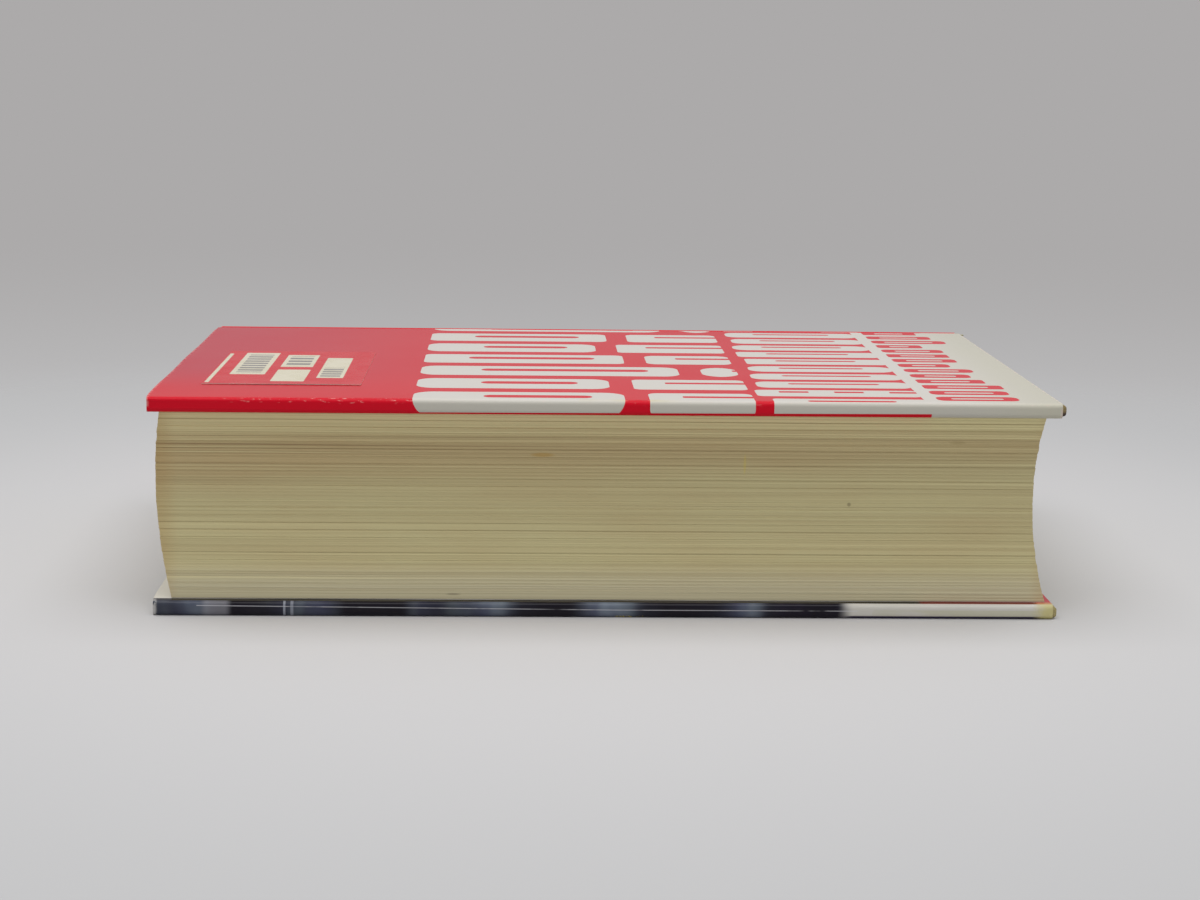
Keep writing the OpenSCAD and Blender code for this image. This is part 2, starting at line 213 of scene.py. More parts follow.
class Form:
    """Lines of the closed book in its own axes: x along it from the middle of the boards to the
    head, y from the fore-edge of the front cover to the spine, and z up from the surface it lies
    on. A profile is an array of (y, z). side is 1 for the front cover, which is on top, and -1 for
    the back."""

    def __init__(self, sizes):
        s = self.s = sizes
        self.half_t = s.pages_t / 2
        self.tip_h = self.half_t + s.shoulder_h
        self.cover_t = 2 * s.jacket_t + s.cloth_t + s.board_t + s.paste_t
        self.pages_hi = self.cover_t + s.leaf_t + s.pages_t
        self.book_t = self.pages_hi + s.leaf_t + self.cover_t
        self.mid_z = self.book_t / 2
        self.board_lo = self.book_t - s.jacket_t - s.cloth_t - s.board_t
        self.cloth_l = s.page_h + 2 * s.square_end
        self.tail = -self.cloth_l / 2 - s.jacket_past_tail
        self.flare_r = (s.shoulder_w**2 + s.shoulder_h**2) / (2 * s.shoulder_h)
        self.flare_a = math.degrees(math.asin(s.shoulder_w / self.flare_r))
        self.tip_a = math.degrees(math.asin(self.tip_h / s.round_r))
        self.board_end = self.tip(1)[0] - s.joint_w
        self.hinge_f = 2 * s.leaf_t
        self.cloth_f = self.hinge_f + s.mull_t
        self.jacket_f = self.cloth_f + s.cloth_t + s.jacket_air
        self.inlay_s = s.mull_t + s.liner_t + s.hollow_t
        self.cloth_s = self.inlay_s + s.inlay_t
        self.jacket_s = self.cloth_s + s.cloth_t + s.jacket_air
        self.mull_half = s.page_h / 2 - s.sag - s.slip / 2 - s.band_w - s.mull_gap
        self.origin = np.array([self.tail - CAD_BOX[0][0], -CAD_BOX[0][1], 0.0])

    def fore_y(self, z):
        """Fore-edge at height z from the middle: an arc of the round's radius, sheared by the
        lean."""
        r = self.s.round_r
        bow = np.sqrt(r * r - z * z) - math.sqrt(r * r - self.half_t**2)
        return self.s.square_fore + self.s.lean * (self.half_t - z) / self.s.pages_t + bow

    def spine_y(self, z):
        """Spine at the same height: the fore-edge moved by the width of a page."""
        return self.fore_y(z) + self.s.page_w

    def end_shift(self, z):
        """Slip of the pages along the book: a straight slant and the arc of the sunken middle."""
        r = (self.half_t**2 + self.s.sag**2) / (2 * self.s.sag)
        return -self.s.slip * z / self.s.pages_t - np.sqrt(r * r - z * z) + r - self.s.sag

    def tip(self, side):
        """Tip of a shoulder, where the spine's round ends."""
        return np.array([self.spine_y(side * self.tip_h), self.mid_z + side * self.tip_h])

    def moved(self, side):
        """How far a cover lies nearer the spine and nearer the head: only the back one does."""
        return (0, 0) if side > 0 else (self.s.lean, self.s.back_shift)

    def joint_y(self, side):
        """Start of the strips over a joint, a gap behind the board."""
        return self.board_end + self.s.joint_gap + self.moved(side)[0]

    def flat_end(self, side):
        """End of the flat faces over the pages, a hair before the flare starts."""
        return self.tip(side)[0] - self.s.shoulder_w - 1e-5

    def on_side(self, side, points):
        """Points whose second value is a height above the face of the pages, put in their place."""
        points = np.atleast_2d(points)
        return np.column_stack([points[:, 0], self.mid_z + side * (self.half_t + points[:, 1])])

    def flare(self, side, f, count=14):
        """Line at distance f over the flare: an arc from level with the pages to the tip."""
        centre = (self.tip(side)[0] - self.s.shoulder_w, self.flare_r)
        return self.on_side(side, arc(centre, self.flare_r - f, -90, -90 + self.flare_a, count))

    def ridge(self, side, f, s, start=None, count=14):
        """Turn round the tip, whose distance grows from f to s with the square of the way gone."""
        first = 90 + self.flare_a
        a = np.linspace(first if start is None else start, self.tip_a, count)
        r = f + (s - f) * ((first - a) / (first - self.tip_a)) ** 2
        a = np.radians(a)
        return self.tip(side) + np.column_stack([r * np.cos(a), side * r * np.sin(a)])

    def half_spine(self, side, s, margin=0.0, count=22):
        """Line at distance s behind the rounded spine, from a tip to the middle."""
        z = side * np.linspace(self.tip_h - margin, 0, count)
        n = z / self.s.round_r
        return np.column_stack([self.spine_y(z) + s * np.sqrt(1 - n * n), self.mid_z + z + s * n])

    def drape(self, side, out, count=12):
        """Jacket over a joint: a parabola that dips between the board and the ridge."""
        b = self.ridge(side, self.jacket_f + out, self.jacket_s + out, 100, 2)[0]
        u = np.linspace(0, 1, count)
        top = self.book_t - self.s.jacket_t + out - self.mid_z
        y = self.joint_y(side) + (b[0] - self.joint_y(side)) * u
        z = top + (side * (b[1] - self.mid_z) - top) * u - 4 * self.s.jacket_dip * u * (1 - u)
        return np.column_stack([y, self.mid_z + side * z])

    def cover(self, side, points):
        """A front cover's profile put on the cover of that side."""
        points = np.atleast_2d(points)
        return points if side > 0 else turned(points, self.s.lean, self.book_t)

    def jacket(self, side, out):
        """Half of the jacket from the end of a flap round the fold and the joint to mid-spine, and
        the numbers of the points where the fold starts and ends. out is 0 inside and jacket_t
        outside."""
        s, r, turn = self.s, self.s.fold_r, 10
        inset = s.jacket_t - out
        lower, upper = (r, self.book_t - self.cover_t + r), (r, self.book_t - r)
        first = joined(
            straight((s.flap_w, lower[1] - r + inset), (r, lower[1] - r + inset), 40),
            arc(lower, r - inset, 270, 180, turn),
            arc(upper, r - inset, 180, 90, turn))
        panel = joined(first, straight((r, upper[1] + r - inset),
                                       (self.board_end, upper[1] + r - inset), 64))
        line = joined(self.cover(side, panel), self.drape(side, out),
                      self.ridge(side, self.jacket_f + out, self.jacket_s + out, 100),
                      self.half_spine(side, self.jacket_s + out))
        return line, len(first) - 2 * turn, len(first) - 1

    def spine_cloth(self, side, out):
        """Half of the cloth between the boards: over a board's edge, down into the joint, up the
        flare, round the ridge and behind the spine. out is 0 inside, cloth_t outside."""
        s, r, turn = self.s, self.s.cloth_t + 0.0004, 0.0003
        top = self.book_t - s.jacket_t - s.cloth_t
        over = arc((self.board_end - 0.0001, top - turn), turn + out, 90, 20, 6)
        well = self.on_side(1, arc((self.joint_y(1) + r, self.cloth_f + r), r - out, 190, 270, 8))
        front = joined(straight((self.board_end - 0.0016, top + out), over[0], 4), over, well)
        return joined(self.cover(side, front), self.flare(side, self.cloth_f + out),
                      self.ridge(side, self.cloth_f + out, self.cloth_s + out),
                      self.half_spine(side, self.cloth_s + out))

    def open_cloth(self, side, out):
        """Half of the open cloth: level over the joint, up the flare and round to mid-spine."""
        start = self.on_side(side, straight((self.joint_y(side), self.hinge_f + out),
                                            (self.flat_end(side), self.hinge_f + out), 5))
        return joined(start, self.flare(side, self.hinge_f + out),
                      self.ridge(side, self.hinge_f + out, out), self.half_spine(side, out))

    def lining(self, side, out):
        """Pastedown and the strip that carries on from it over the joint and up the flare."""
        s = self.s
        z = self.board_lo - s.paste_t + out * s.paste_t / s.leaf_t
        paste = straight((self.cloth_y + s.paste_margin, z), (self.board_end, z), 60)
        strip = self.on_side(side, straight((self.joint_y(side), s.leaf_t + out),
                                            (self.flat_end(side), s.leaf_t + out), 5))
        return joined(self.cover(side, paste), strip, self.flare(side, s.leaf_t + out))

    @property
    def cloth_y(self):
        """Fore-edge of the cloth, inside the jacket."""
        return self.s.jacket_t + self.s.jacket_air

    def leaf(self, side, out):
        """Fly leaf over the pages, from the fore-edge to the tip of the shoulder."""
        fore = self.fore_y(side * self.half_t) + 0.0001
        return joined(self.on_side(side, straight((fore, out), (self.flat_end(side), out), 60)),
                      self.flare(side, out))

    def hinge(self, side):
        """Start and end of the stretch that bends, in the frame's axes."""
        joint = next(j for j in frame["joints"] if j["name"] == ("front" if side > 0 else "back")
                     + "_cover_hinge")
        start = self.board_end + self.moved(side)[0] - self.origin[1]
        end = self.tip(side)[0] - 0.0002 - self.origin[1]
        return joint, (0, start, self.mid_z), (0, end, self.mid_z)


def strip_of_quads(rows, columns):
    """Vertex numbers of the quads of a grid of points."""
    i = np.arange(rows - 1)[:, None] * columns
    j = np.arange(columns - 1)
    return np.stack([i + j, i + j + 1, i + columns + j + 1, i + columns + j], -1).reshape(-1, 4)


def tube_of_quads(rows, around):
    """Vertex numbers of the quads of a tube, whose rows are closed rings of points."""
    i = np.arange(rows - 1)[:, None] * around
    j = np.arange(around)
    k = (j + 1) % around
    return np.stack([i + j, i + k, i + around + k, i + around + j], -1).reshape(-1, 4)


def lengths(line):
    """Length along a profile at each of its points: the sum of the steps up to it."""
    return np.concatenate([[0], np.cumsum(np.linalg.norm(np.diff(line, axis=0), axis=1))])


def bell(distance, width):
    """Bell curve: 1 in the middle, falling with the square of the distance over the width."""
    return np.exp(-(distance / width) ** 2)


def made_mesh(name, points, quads, uv=None, inside=None, angle=35):
    """Object of a mesh from arrays, its faces outward: where the sum of the signed volumes under
    the faces comes out negative, all of them are turned. uv is one pair a vertex, inside a face's
    material slot."""
    a, b, c, d = (points[quads[:, i]] for i in range(4))
    if np.einsum("ij,ij->", a, np.cross(b, c) + np.cross(c, d)) < 0:
        quads = quads[:, ::-1]
    mesh = bpy.data.meshes.new(name)
    mesh.vertices.add(len(points))
    mesh.vertices.foreach_set("co", points.astype(np.float32).ravel())
    mesh.loops.add(quads.size)
    mesh.loops.foreach_set("vertex_index", quads.astype(np.int32).ravel())
    mesh.polygons.add(len(quads))
    mesh.polygons.foreach_set("loop_start", np.arange(0, quads.size, 4, dtype=np.int32))
    if inside is not None:
        mesh.polygons.foreach_set("material_index", inside.astype(np.int32))
    if uv is not None:
        layer = mesh.uv_layers.new(name="Sheet")
        layer.data.foreach_set("uv", uv[quads.ravel()].astype(np.float32).ravel())
    mesh.update(calc_edges=True)
    mesh.polygons.foreach_set("use_smooth", np.ones(len(quads), bool))
    mesh.set_sharp_from_angle(angle=math.radians(angle))
    if mesh.validate():
        raise RuntimeError(name + ": the grid has faces that collapse")
    piece = bpy.data.objects.new(name, mesh)
    bpy.context.scene.collection.objects.link(piece)
    return piece


def made_sheet(name, form, inner, outer, x, fold=0, bend=None):
    """Closed thin sheet between two profiles swept along the book. x has a row for each step along
    the book, with one column or one for each point of the profile, and bend moves the points. The
    sheet's own map holds x from its tail edge and the length along the profile from the fold."""
    rows, columns = len(x), len(outer)
    x = np.broadcast_to(x, (rows, columns))
    faces = []
    for line in (outer, inner):
        grid = np.stack(np.broadcast_arrays(x, line[:, 0], line[:, 1]), -1)
        if bend is not None:
            bend(grid)
        faces.append(grid.reshape(-1, 3))
    run = lengths(outer)
    uv = np.stack(np.broadcast_arrays(x - x.min(0), run - run[fold]), -1).reshape(-1, 2)
    n = rows * columns
    top = strip_of_quads(rows, columns)
    under = top[:, ::-1] + n
    edge = np.arange(columns)
    ring = np.concatenate([edge, np.arange(1, rows) * columns + columns - 1,
                           (rows - 1) * columns + edge[-2::-1],
                           np.arange(rows - 2, 0, -1) * columns])
    after = np.roll(ring, -1)
    rim = np.stack([after, ring, ring + n, after + n], -1)
    slot = np.concatenate([np.zeros(len(top)), np.ones(len(under) + len(rim))])
    return made_mesh(name, np.concatenate(faces) - form.origin,
                     np.concatenate([top, under, rim]), np.concatenate([uv] * 2), slot)


class Nodes:
    """A node tree, with short ways to add to it. Each gives the output of the node it adds."""

    def __init__(self, tree):
        self.tree = tree

    def set(self, socket, value):
        """Links an output to a socket, or sets the socket to a value."""
        if isinstance(value, bpy.types.NodeSocket):
            self.tree.links.new(value, socket)
        elif value is not None:
            if socket.type == "RGBA" and len(value) == 3:
                value = (*value, 1)
            socket.default_value = value

    def add(self, kind, out=0, options=None, **values):
        """Adds a node and sets the sockets named in values, where a digit is a socket's number."""
        node = self.tree.nodes.new(kind)
        for key, value in (options or {}).items():
            setattr(node, key, value)
        for key, value in values.items():
            key = key.replace("_", " ").strip()
            self.set(node.inputs[int(key) if key.isdigit() else key], value)
        return node.outputs[out]

    def math(self, operation, a, b=None):
        return self.add("ShaderNodeMath", options={"operation": operation}, _0=a, _1=b)

    def times(self, first, *others):
        for value in others:
            first = self.math("MULTIPLY", first, value)
        return first

    def plus(self, a, b):
        return self.math("ADD", a, b)

    def minus(self, a, b):
        return self.math("SUBTRACT", a, b)

    def most(self, first, *others):
        for value in others:
            first = self.math("MAXIMUM", first, value)
        return first

    def size(self, value):
        return self.math("ABSOLUTE", value)

    def above(self, value, low):
        """1 where a value is above another, else 0."""
        return self.math("GREATER_THAN", value, low)

    def below(self, value, high):
        """1 where a value is below another, else 0."""
        return self.math("LESS_THAN", value, high)

    def between(self, value, low, high):
        """1 where a value lies between two others, else 0."""
        return self.times(self.above(value, low), self.below(value, high))

    def cut(self, marks, hole):
        """Marks less a hole in them."""
        return self.times(marks, self.minus(1.0, hole))

    def mix(self, amount, a, b):
        return self.add("ShaderNodeMix", 2, {"data_type": "RGBA"}, _0=amount, _6=a, _7=b)

    def parts(self, vector):
        node = self.add("ShaderNodeSeparateXYZ", Vector=vector).node
        return node.outputs[0], node.outputs[1], node.outputs[2]

    def vector(self, x, y=0.0, z=0.0):
        return self.add("ShaderNodeCombineXYZ", X=x, Y=y, Z=z)

    def scaled(self, vector, x, y, z):
        return self.add("ShaderNodeVectorMath", options={"operation": "MULTIPLY"}, _0=vector,
                        _1=(x, y, z))

    def noise(self, vector, scale, detail=2.0, roughness=0.5):
        return self.add("ShaderNodeTexNoise", Vector=vector, Scale=scale, Detail=detail,
                        Roughness=roughness)

    def ramp(self, value, low, high, to_low=0.0, to_high=1.0):
        """Smooth step from one value to another between low and high."""
        return self.add("ShaderNodeMapRange", options={"interpolation_type": "SMOOTHSTEP"},
                        Value=value, From_Min=low, From_Max=high, To_Min=to_low, To_Max=to_high)

    def bar(self, *values):
        """1 inside a rounded bar, else 0: x, y, the bar's two x, its two y and its rounding."""
        node = self.tree.nodes.new("ShaderNodeGroup")
        node.node_tree = bar_group()
        for name, value in zip(BAR_VALUES, values):
            self.set(node.inputs[name], value)
        return node.outputs[0]


class Finish(Nodes):
    """One procedural material: a shader and the nodes that feed it."""

    def __init__(self, name, **values):
        self.material = bpy.data.materials.new(name)
        self.material.use_nodes = True
        super().__init__(self.material.node_tree)
        self.tree.nodes.clear()
        self.shader = self.tree.nodes.new("ShaderNodeBsdfPrincipled")
        out = self.tree.nodes.new("ShaderNodeOutputMaterial")
        self.tree.links.new(self.shader.outputs[0], out.inputs["Surface"])
        for socket, value in values.items():
            self.shader.inputs[socket.replace("_", " ")].default_value = value

    def place(self):
        return self.add("ShaderNodeTexCoord", "Object")

    def sheet_map(self):
        """x from the tail edge and the run along the sheet, both in metres."""
        return self.parts(self.add("ShaderNodeUVMap", options={"uv_map": "Sheet"}))[:2]

    def bump(self, height, distance, strength=1.0):
        normal = self.add("ShaderNodeBump", Height=height, Distance=distance, Strength=strength)
        self.tree.links.new(normal, self.shader.inputs["Normal"])

    def paint(self, colour, roughness):
        self.tree.links.new(colour, self.shader.inputs["Base Color"])
        self.tree.links.new(roughness, self.shader.inputs["Roughness"])


BAR_VALUES = ("x", "y", "x0", "x1", "y0", "y1", "r")


def bar_group():
    """Node group of a rounded bar, made once: inside is where the distance to the box less its
    rounding stays below the rounding."""
    tree = bpy.data.node_groups.get("Rounded bar")
    if tree is not None:
        return tree
    tree = bpy.data.node_groups.new("Rounded bar", "ShaderNodeTree")
    for name in BAR_VALUES:
        tree.interface.new_socket(name, in_out="INPUT", socket_type="NodeSocketFloat")
    tree.interface.new_socket("inside", in_out="OUTPUT", socket_type="NodeSocketFloat")
    n = Nodes(tree)
    given = tree.nodes.new("NodeGroupInput").outputs
    result = tree.nodes.new("NodeGroupOutput")

    def past(value, low, high):
        middle = n.times(n.plus(given[low], given[high]), 0.5)
        half = n.times(n.minus(given[high], given[low]), 0.5)
        away = n.size(n.minus(given[value], middle))
        return n.most(n.plus(n.minus(away, half), given["r"]), 0.0)

    dx, dy = past("x", "x0", "x1"), past("y", "y0", "y1")
    far = n.math("SQRT", n.plus(n.times(dx, dx), n.times(dy, dy)))
    tree.links.new(n.below(far, given["r"]), result.inputs[0])
    return tree


def shade(tone, *factors):
    """Tone with its three parts multiplied by three factors, or all by one."""
    return tuple(part * by for part, by in zip(tone, factors * (3 // len(factors))))


# Specks and smudges on the fore-edge: x, z, half their sizes along x and z, strength and colour.
SPECKS = ((0.0647, 0.0301, 0.0006, 0.0006, 0.5, (90, 80, 60)),
          (-0.0175, 0.0433, 0.0034, 0.0007, 0.6, (176, 142, 74)),
          (0.0364, 0.0410, 0.0004, 0.0030, 0.45, (202, 184, 92)),
          (-0.0410, 0.0054, 0.0022, 0.0003, 0.55, (120, 112, 92)),
          (0.0930, 0.0475, 0.0025, 0.0006, 0.3, (150, 132, 90)))


def page_edges(looks):
    """Cut page edges: hundreds of thin lines that run along the book, with painted shade between
    the leaves and painted glints, sections that differ in tone, browning towards the top, painted
    light at the very top and a few specks and smudges."""
    f = Finish("Page edges", Specular_IOR_Level=0.2)
    place = f.place()
    x, y, z = f.parts(place)
    wander = f.times(f.minus(f.noise(f.scaled(place, 12, 12, 40), 1.0), 0.5), 0.0006)
    along = f.vector(f.times(x, 4.0), f.times(y, 4.0), f.plus(z, wander))

    def lines(pitch, low, high, detail=0.0, stretch=1.0):
        """Noise drawn out along the book, with that pitch from leaf to leaf."""
        drawn = f.noise(f.scaled(along, stretch, stretch, 1 / pitch), 1.0, detail, 0.6)
        return f.ramp(drawn, low, high)

    leaves = lines(0.00032, 0.36, 0.64)
    pairs = lines(0.00052, 0.36, 0.64, 1.0)
    groups = lines(0.0021, 0.3, 0.7, 1.0)
    shadows = lines(0.00078, 0.36, 0.25, 0.0, 0.5)
    glints = lines(0.0006, 0.66, 0.74, 0.0, 0.7)

    # Tone by height: brown in a band below the top, greyer at the foot, and paler at the very top
    # with painted light against the shade under the cover.
    slanted = f.minus(z, f.times(x, 0.04))
    browned = f.times(f.ramp(slanted, 0.033, 0.046), f.ramp(z, 0.049, 0.0535, 1.0, 0.0))
    patchy = f.ramp(f.noise(f.scaled(place, 18, 18, 60), 1.0, 3.0, 0.6), 0.4, 0.75)
    brown = f.plus(f.plus(f.times(browned, 0.85), f.times(groups, 0.1)), f.times(patchy, 0.35))
    edge = f.mix(f.times(brown, looks.browning), looks.paper, looks.paper_brown)
    edge = f.mix(f.ramp(z, 0.015, 0.007, 0.0, 0.8), edge, shade(looks.paper, 0.98, 1.0, 1.25))
    # Painted light: a brighter copy of the page colour at the top of the pages.
    edge = f.mix(f.ramp(z, 0.044, 0.0535, 0.0, 0.9), edge, shade(looks.paper, 1.4))

    # Painted shade between the leaves with darker lines of painted shadow, and painted glints of
    # light on some of them, sharper in the upper third.
    crisp = f.ramp(z, 0.0395, 0.0435)
    depth = f.plus(f.times(f.minus(1.0, leaves), 0.18), f.times(f.minus(1.0, pairs), 0.09))
    depth = f.times(depth, f.ramp(browned, 0.0, 1.0, 0.85, 1.3))
    shadow_lines = f.times(shadows, f.ramp(crisp, 0.0, 1.0, 0.16, 0.44))
    edge = f.mix(f.plus(depth, shadow_lines), edge, shade(looks.paper_brown, 0.42, 0.38, 0.34))
    lit = f.times(glints, f.ramp(crisp, 0.0, 1.0, 0.3, 0.6))
    edge = f.mix(lit, edge, shade(looks.paper, 1.25))
    # The corners of the pages at the head and the tail have browned deepest.
    corners = f.ramp(f.size(x), 0.1130, 0.1192, 0.0, 0.6)
    edge = f.mix(f.times(corners, looks.browning), edge,
                 shade(looks.paper_brown, 0.85, 0.72, 0.5))
    for speck_x, speck_z, half_x, half_z, amount, tone in SPECKS:
        away = f.plus(f.math("POWER", f.math("DIVIDE", f.minus(x, speck_x), half_x), 2.0),
                      f.math("POWER", f.math("DIVIDE", f.minus(z, speck_z), half_z), 2.0))
        near = f.times(f.ramp(away, 0.1, 1.3, amount, 0.0), f.below(y, -0.05))
        edge = f.mix(near, edge, written(*tone))
    f.paint(edge, f.ramp(leaves, 0, 1, 0.85, 0.7))
    height = f.plus(f.times(leaves, 0.4), f.times(pairs, 0.6))
    f.bump(f.minus(height, shadows), 0.00008, 0.7)
    return f.material


def plain_paper(name, tone, tooth=0.00003):
    """Plain paper: soft clouds of tone and a fine tooth."""
    f = Finish(name, Roughness=0.7, Specular_IOR_Level=0.3)
    place = f.place()
    cloud = f.noise(place, 60.0, 4.0, 0.6)
    darker = shade(tone, 0.88, 0.85, 0.76)
    f.paint(f.mix(f.ramp(cloud, 0.35, 0.75, 0.0, 0.55), tone, darker),
            f.ramp(cloud, 0.3, 0.7, 0.62, 0.78))
    f.bump(f.noise(place, 2200.0, 2.0), tooth, 0.6)
    return f.material


def woven(name, tone, pitch, rough=0.8, depth=0.3, grime_and_shade=None):
    """Plain weave: two sets of threads that pass over and under each other, from the product of
    two sines, darker with painted shade in the hollows of the weave, and with worn threads that are
    a little paler. With grime_and_shade, the corners at the head of the fore-edge are rubbed dark,
    and the front cover's corner is darker on its lower half with painted shade."""
    f = Finish(name, Specular_IOR_Level=0.25)
    place = f.place()
    x, y, z = f.parts(place)
    turn = 2 * math.pi / pitch
    weave = f.times(f.math("SINE", f.times(x, turn)), f.math("SINE", f.times(f.plus(y, z), turn)))
    worn = f.noise(place, 90.0, 4.0, 0.65)
    pale = tuple(part * 1.15 + 0.01 for part in tone)
    # Painted shade: a darker copy of the cloth colour in the hollows of the weave.
    threads = f.mix(f.ramp(weave, -0.8, 0.8), shade(tone, 0.7), tone)
    colour = f.mix(f.ramp(worn, 0.5, 0.8, 0.0, 0.5), threads, pale)
    if grime_and_shade is not None:
        near = f.times(f.ramp(x, 0.1185, 0.1198), f.ramp(y, -0.0795, -0.0745, 1.0, 0.0))
        edge = f.times(f.ramp(f.size(x), 0.1185, 0.1210, 0.0, 0.35), f.ramp(worn, 0.45, 0.7))
        # The front cover's corner is dark below, painted shade under its rounded edge together with
        # the grime, and golden above; the back cover's is only golden.
        low = f.times(f.ramp(z, 0.0572, 0.0558), f.above(z, 0.03))
        gold = f.mix(f.ramp(z, 0.029, 0.031), written(188, 174, 120), written(158, 140, 98))
        rubbed = f.mix(f.plus(low, f.times(worn, 0.2)), gold, grime_and_shade)
        colour = f.mix(f.most(near, edge), colour, rubbed)
    f.paint(colour, f.ramp(weave, -1, 1, rough + 0.1, rough - 0.1))
    f.bump(weave, pitch * depth, 0.8)
    return f.material


def grey_board():
    """Grey pulp board: fibres of several tones and a soft grain."""
    f = Finish("Pulp board", Roughness=0.85, Specular_IOR_Level=0.2)
    fibre = f.noise(f.scaled(f.place(), 1, 0.4, 2), 900.0, 3.0, 0.7)
    f.paint(f.mix(f.ramp(fibre, 0.3, 0.7), written(122, 112, 96), written(168, 158, 138)),
            f.ramp(fibre, 0.3, 0.7, 0.9, 0.75))
    f.bump(fibre, 0.0001, 0.6)
    return f.material


# Print of the spine, as x from the tail edge, half the height and the rounding: marks, and the
# slots inside the two rings.
SPINE_MARKS = ((0.022, 0.026, 0.022, 0.0015), (0.034, 0.138, 0.013, 0.013),
               (0.150, 0.196, 0.0125, 0.0125), (0.208, 0.212, 0.022, 0.0015))
SPINE_SLOTS = ((0.046, 0.126, 0.004, 0.004), (0.161, 0.185, 0.0038, 0.0038))


def spine_print(f, x, away):
    """Print on the spine, the same on both halves: a long ring, a short one and cross stripes.
    away is the distance from the middle of the spine."""
    marks = f.most(*(f.bar(x, away, x0, x1, -half, half, r) for x0, x1, half, r in SPINE_MARKS))
    for x0, x1, half, r in SPINE_SLOTS:
        marks = f.cut(marks, f.bar(x, away, x0, x1, -half, half, r))
    return marks


def rows(f, run, start, pitch, seed):
    """Place across the row and two chances from 0 to 1, for rows of equal width."""
    at = f.math("DIVIDE", f.minus(run, start), pitch)
    row = f.math("FLOOR", at)
    across = f.times(f.minus(f.minus(at, row), 0.5), pitch)
    chances = [f.add("ShaderNodeTexWhiteNoise", 0, {"noise_dimensions": "1D"},
                     W=f.plus(row, seed + k)) for k in (0.31, 7.77)]
    return across, *chances


# Zones of the front print, as x from the tail edge: long rings and blocks, short rings, and red
# marks on white.
RINGS_FROM, BLOCKS_TO = 0.0695, 0.1595
SHORT_FROM, SHORT_TO = 0.1605, 0.2052
WHITE_FROM, RED_MARKS_FROM = 0.2048, 0.2085
# The red strip of the white front flap: its end towards the head and its depth from the panel.
RED_STRIP_TO, RED_STRIP_DEEP = 0.206, 0.0165


def front_print(f, x, run):
    """White marks on the red front: rows of long rings and blocks, then narrower rows of short
    ones, then rows that change over to red marks on white, and plain white at the head."""

    def varied(base, chance, by):
        return f.plus(base, f.times(chance, by))

    across, p, q = rows(f, run, -0.009, 0.0252, 3.0)
    half = 0.0093
    end = varied(0.116, p, 0.03)
    ring = f.bar(x, across, RINGS_FROM, end, -half, half, varied(0.001, q, 0.007))
    slot = f.bar(x, across, varied(0.080, q, 0.012), f.minus(end, 0.0085), -0.0005, 0.0041, 0.0022)
    block = f.bar(x, across, f.plus(end, 0.0065), BLOCKS_TO, -half, half, varied(0.001, p, 0.006))
    notch = f.bar(x, across, f.plus(end, 0.0155), 0.1680, 0.0012, 0.0042, 0.0008)
    first = f.most(f.cut(ring, slot), f.cut(block, notch))

    across, p, q = rows(f, run, -0.0086, 0.0157, 11.0)
    start = varied(SHORT_FROM, p, 0.004)
    short = f.bar(x, across, start, SHORT_TO, -0.0058, 0.0058, varied(0.0008, q, 0.005))
    slot = f.bar(x, across, f.plus(start, 0.009), 0.197, 0.0006, 0.0028, 0.0011)
    comb = f.math("PINGPONG", f.minus(x, 0.164), 0.0075)
    tooth = f.bar(comb, across, 0.0035, 0.02, 0.0008, 0.0034, 0.0002)
    second = f.cut(short, f.plus(f.times(slot, f.above(p, 0.45)), f.times(tooth, f.below(p, 0.45))))

    across, p, q = rows(f, run, 0.0015, 0.0108, 23.0)
    bar = f.bar(x, across, RED_MARKS_FROM, varied(0.2225, p, 0.0095), -0.0036, 0.0036,
                varied(0.0004, q, 0.0031))
    slot = f.bar(x, across, 0.2125, varied(0.2185, p, 0.0095), -0.0009, 0.0009, 0.0008)
    third = f.cut(f.above(x, WHITE_FROM), f.times(f.cut(bar, slot), f.above(run, 0.0012)))
    return f.most(first, second, third)


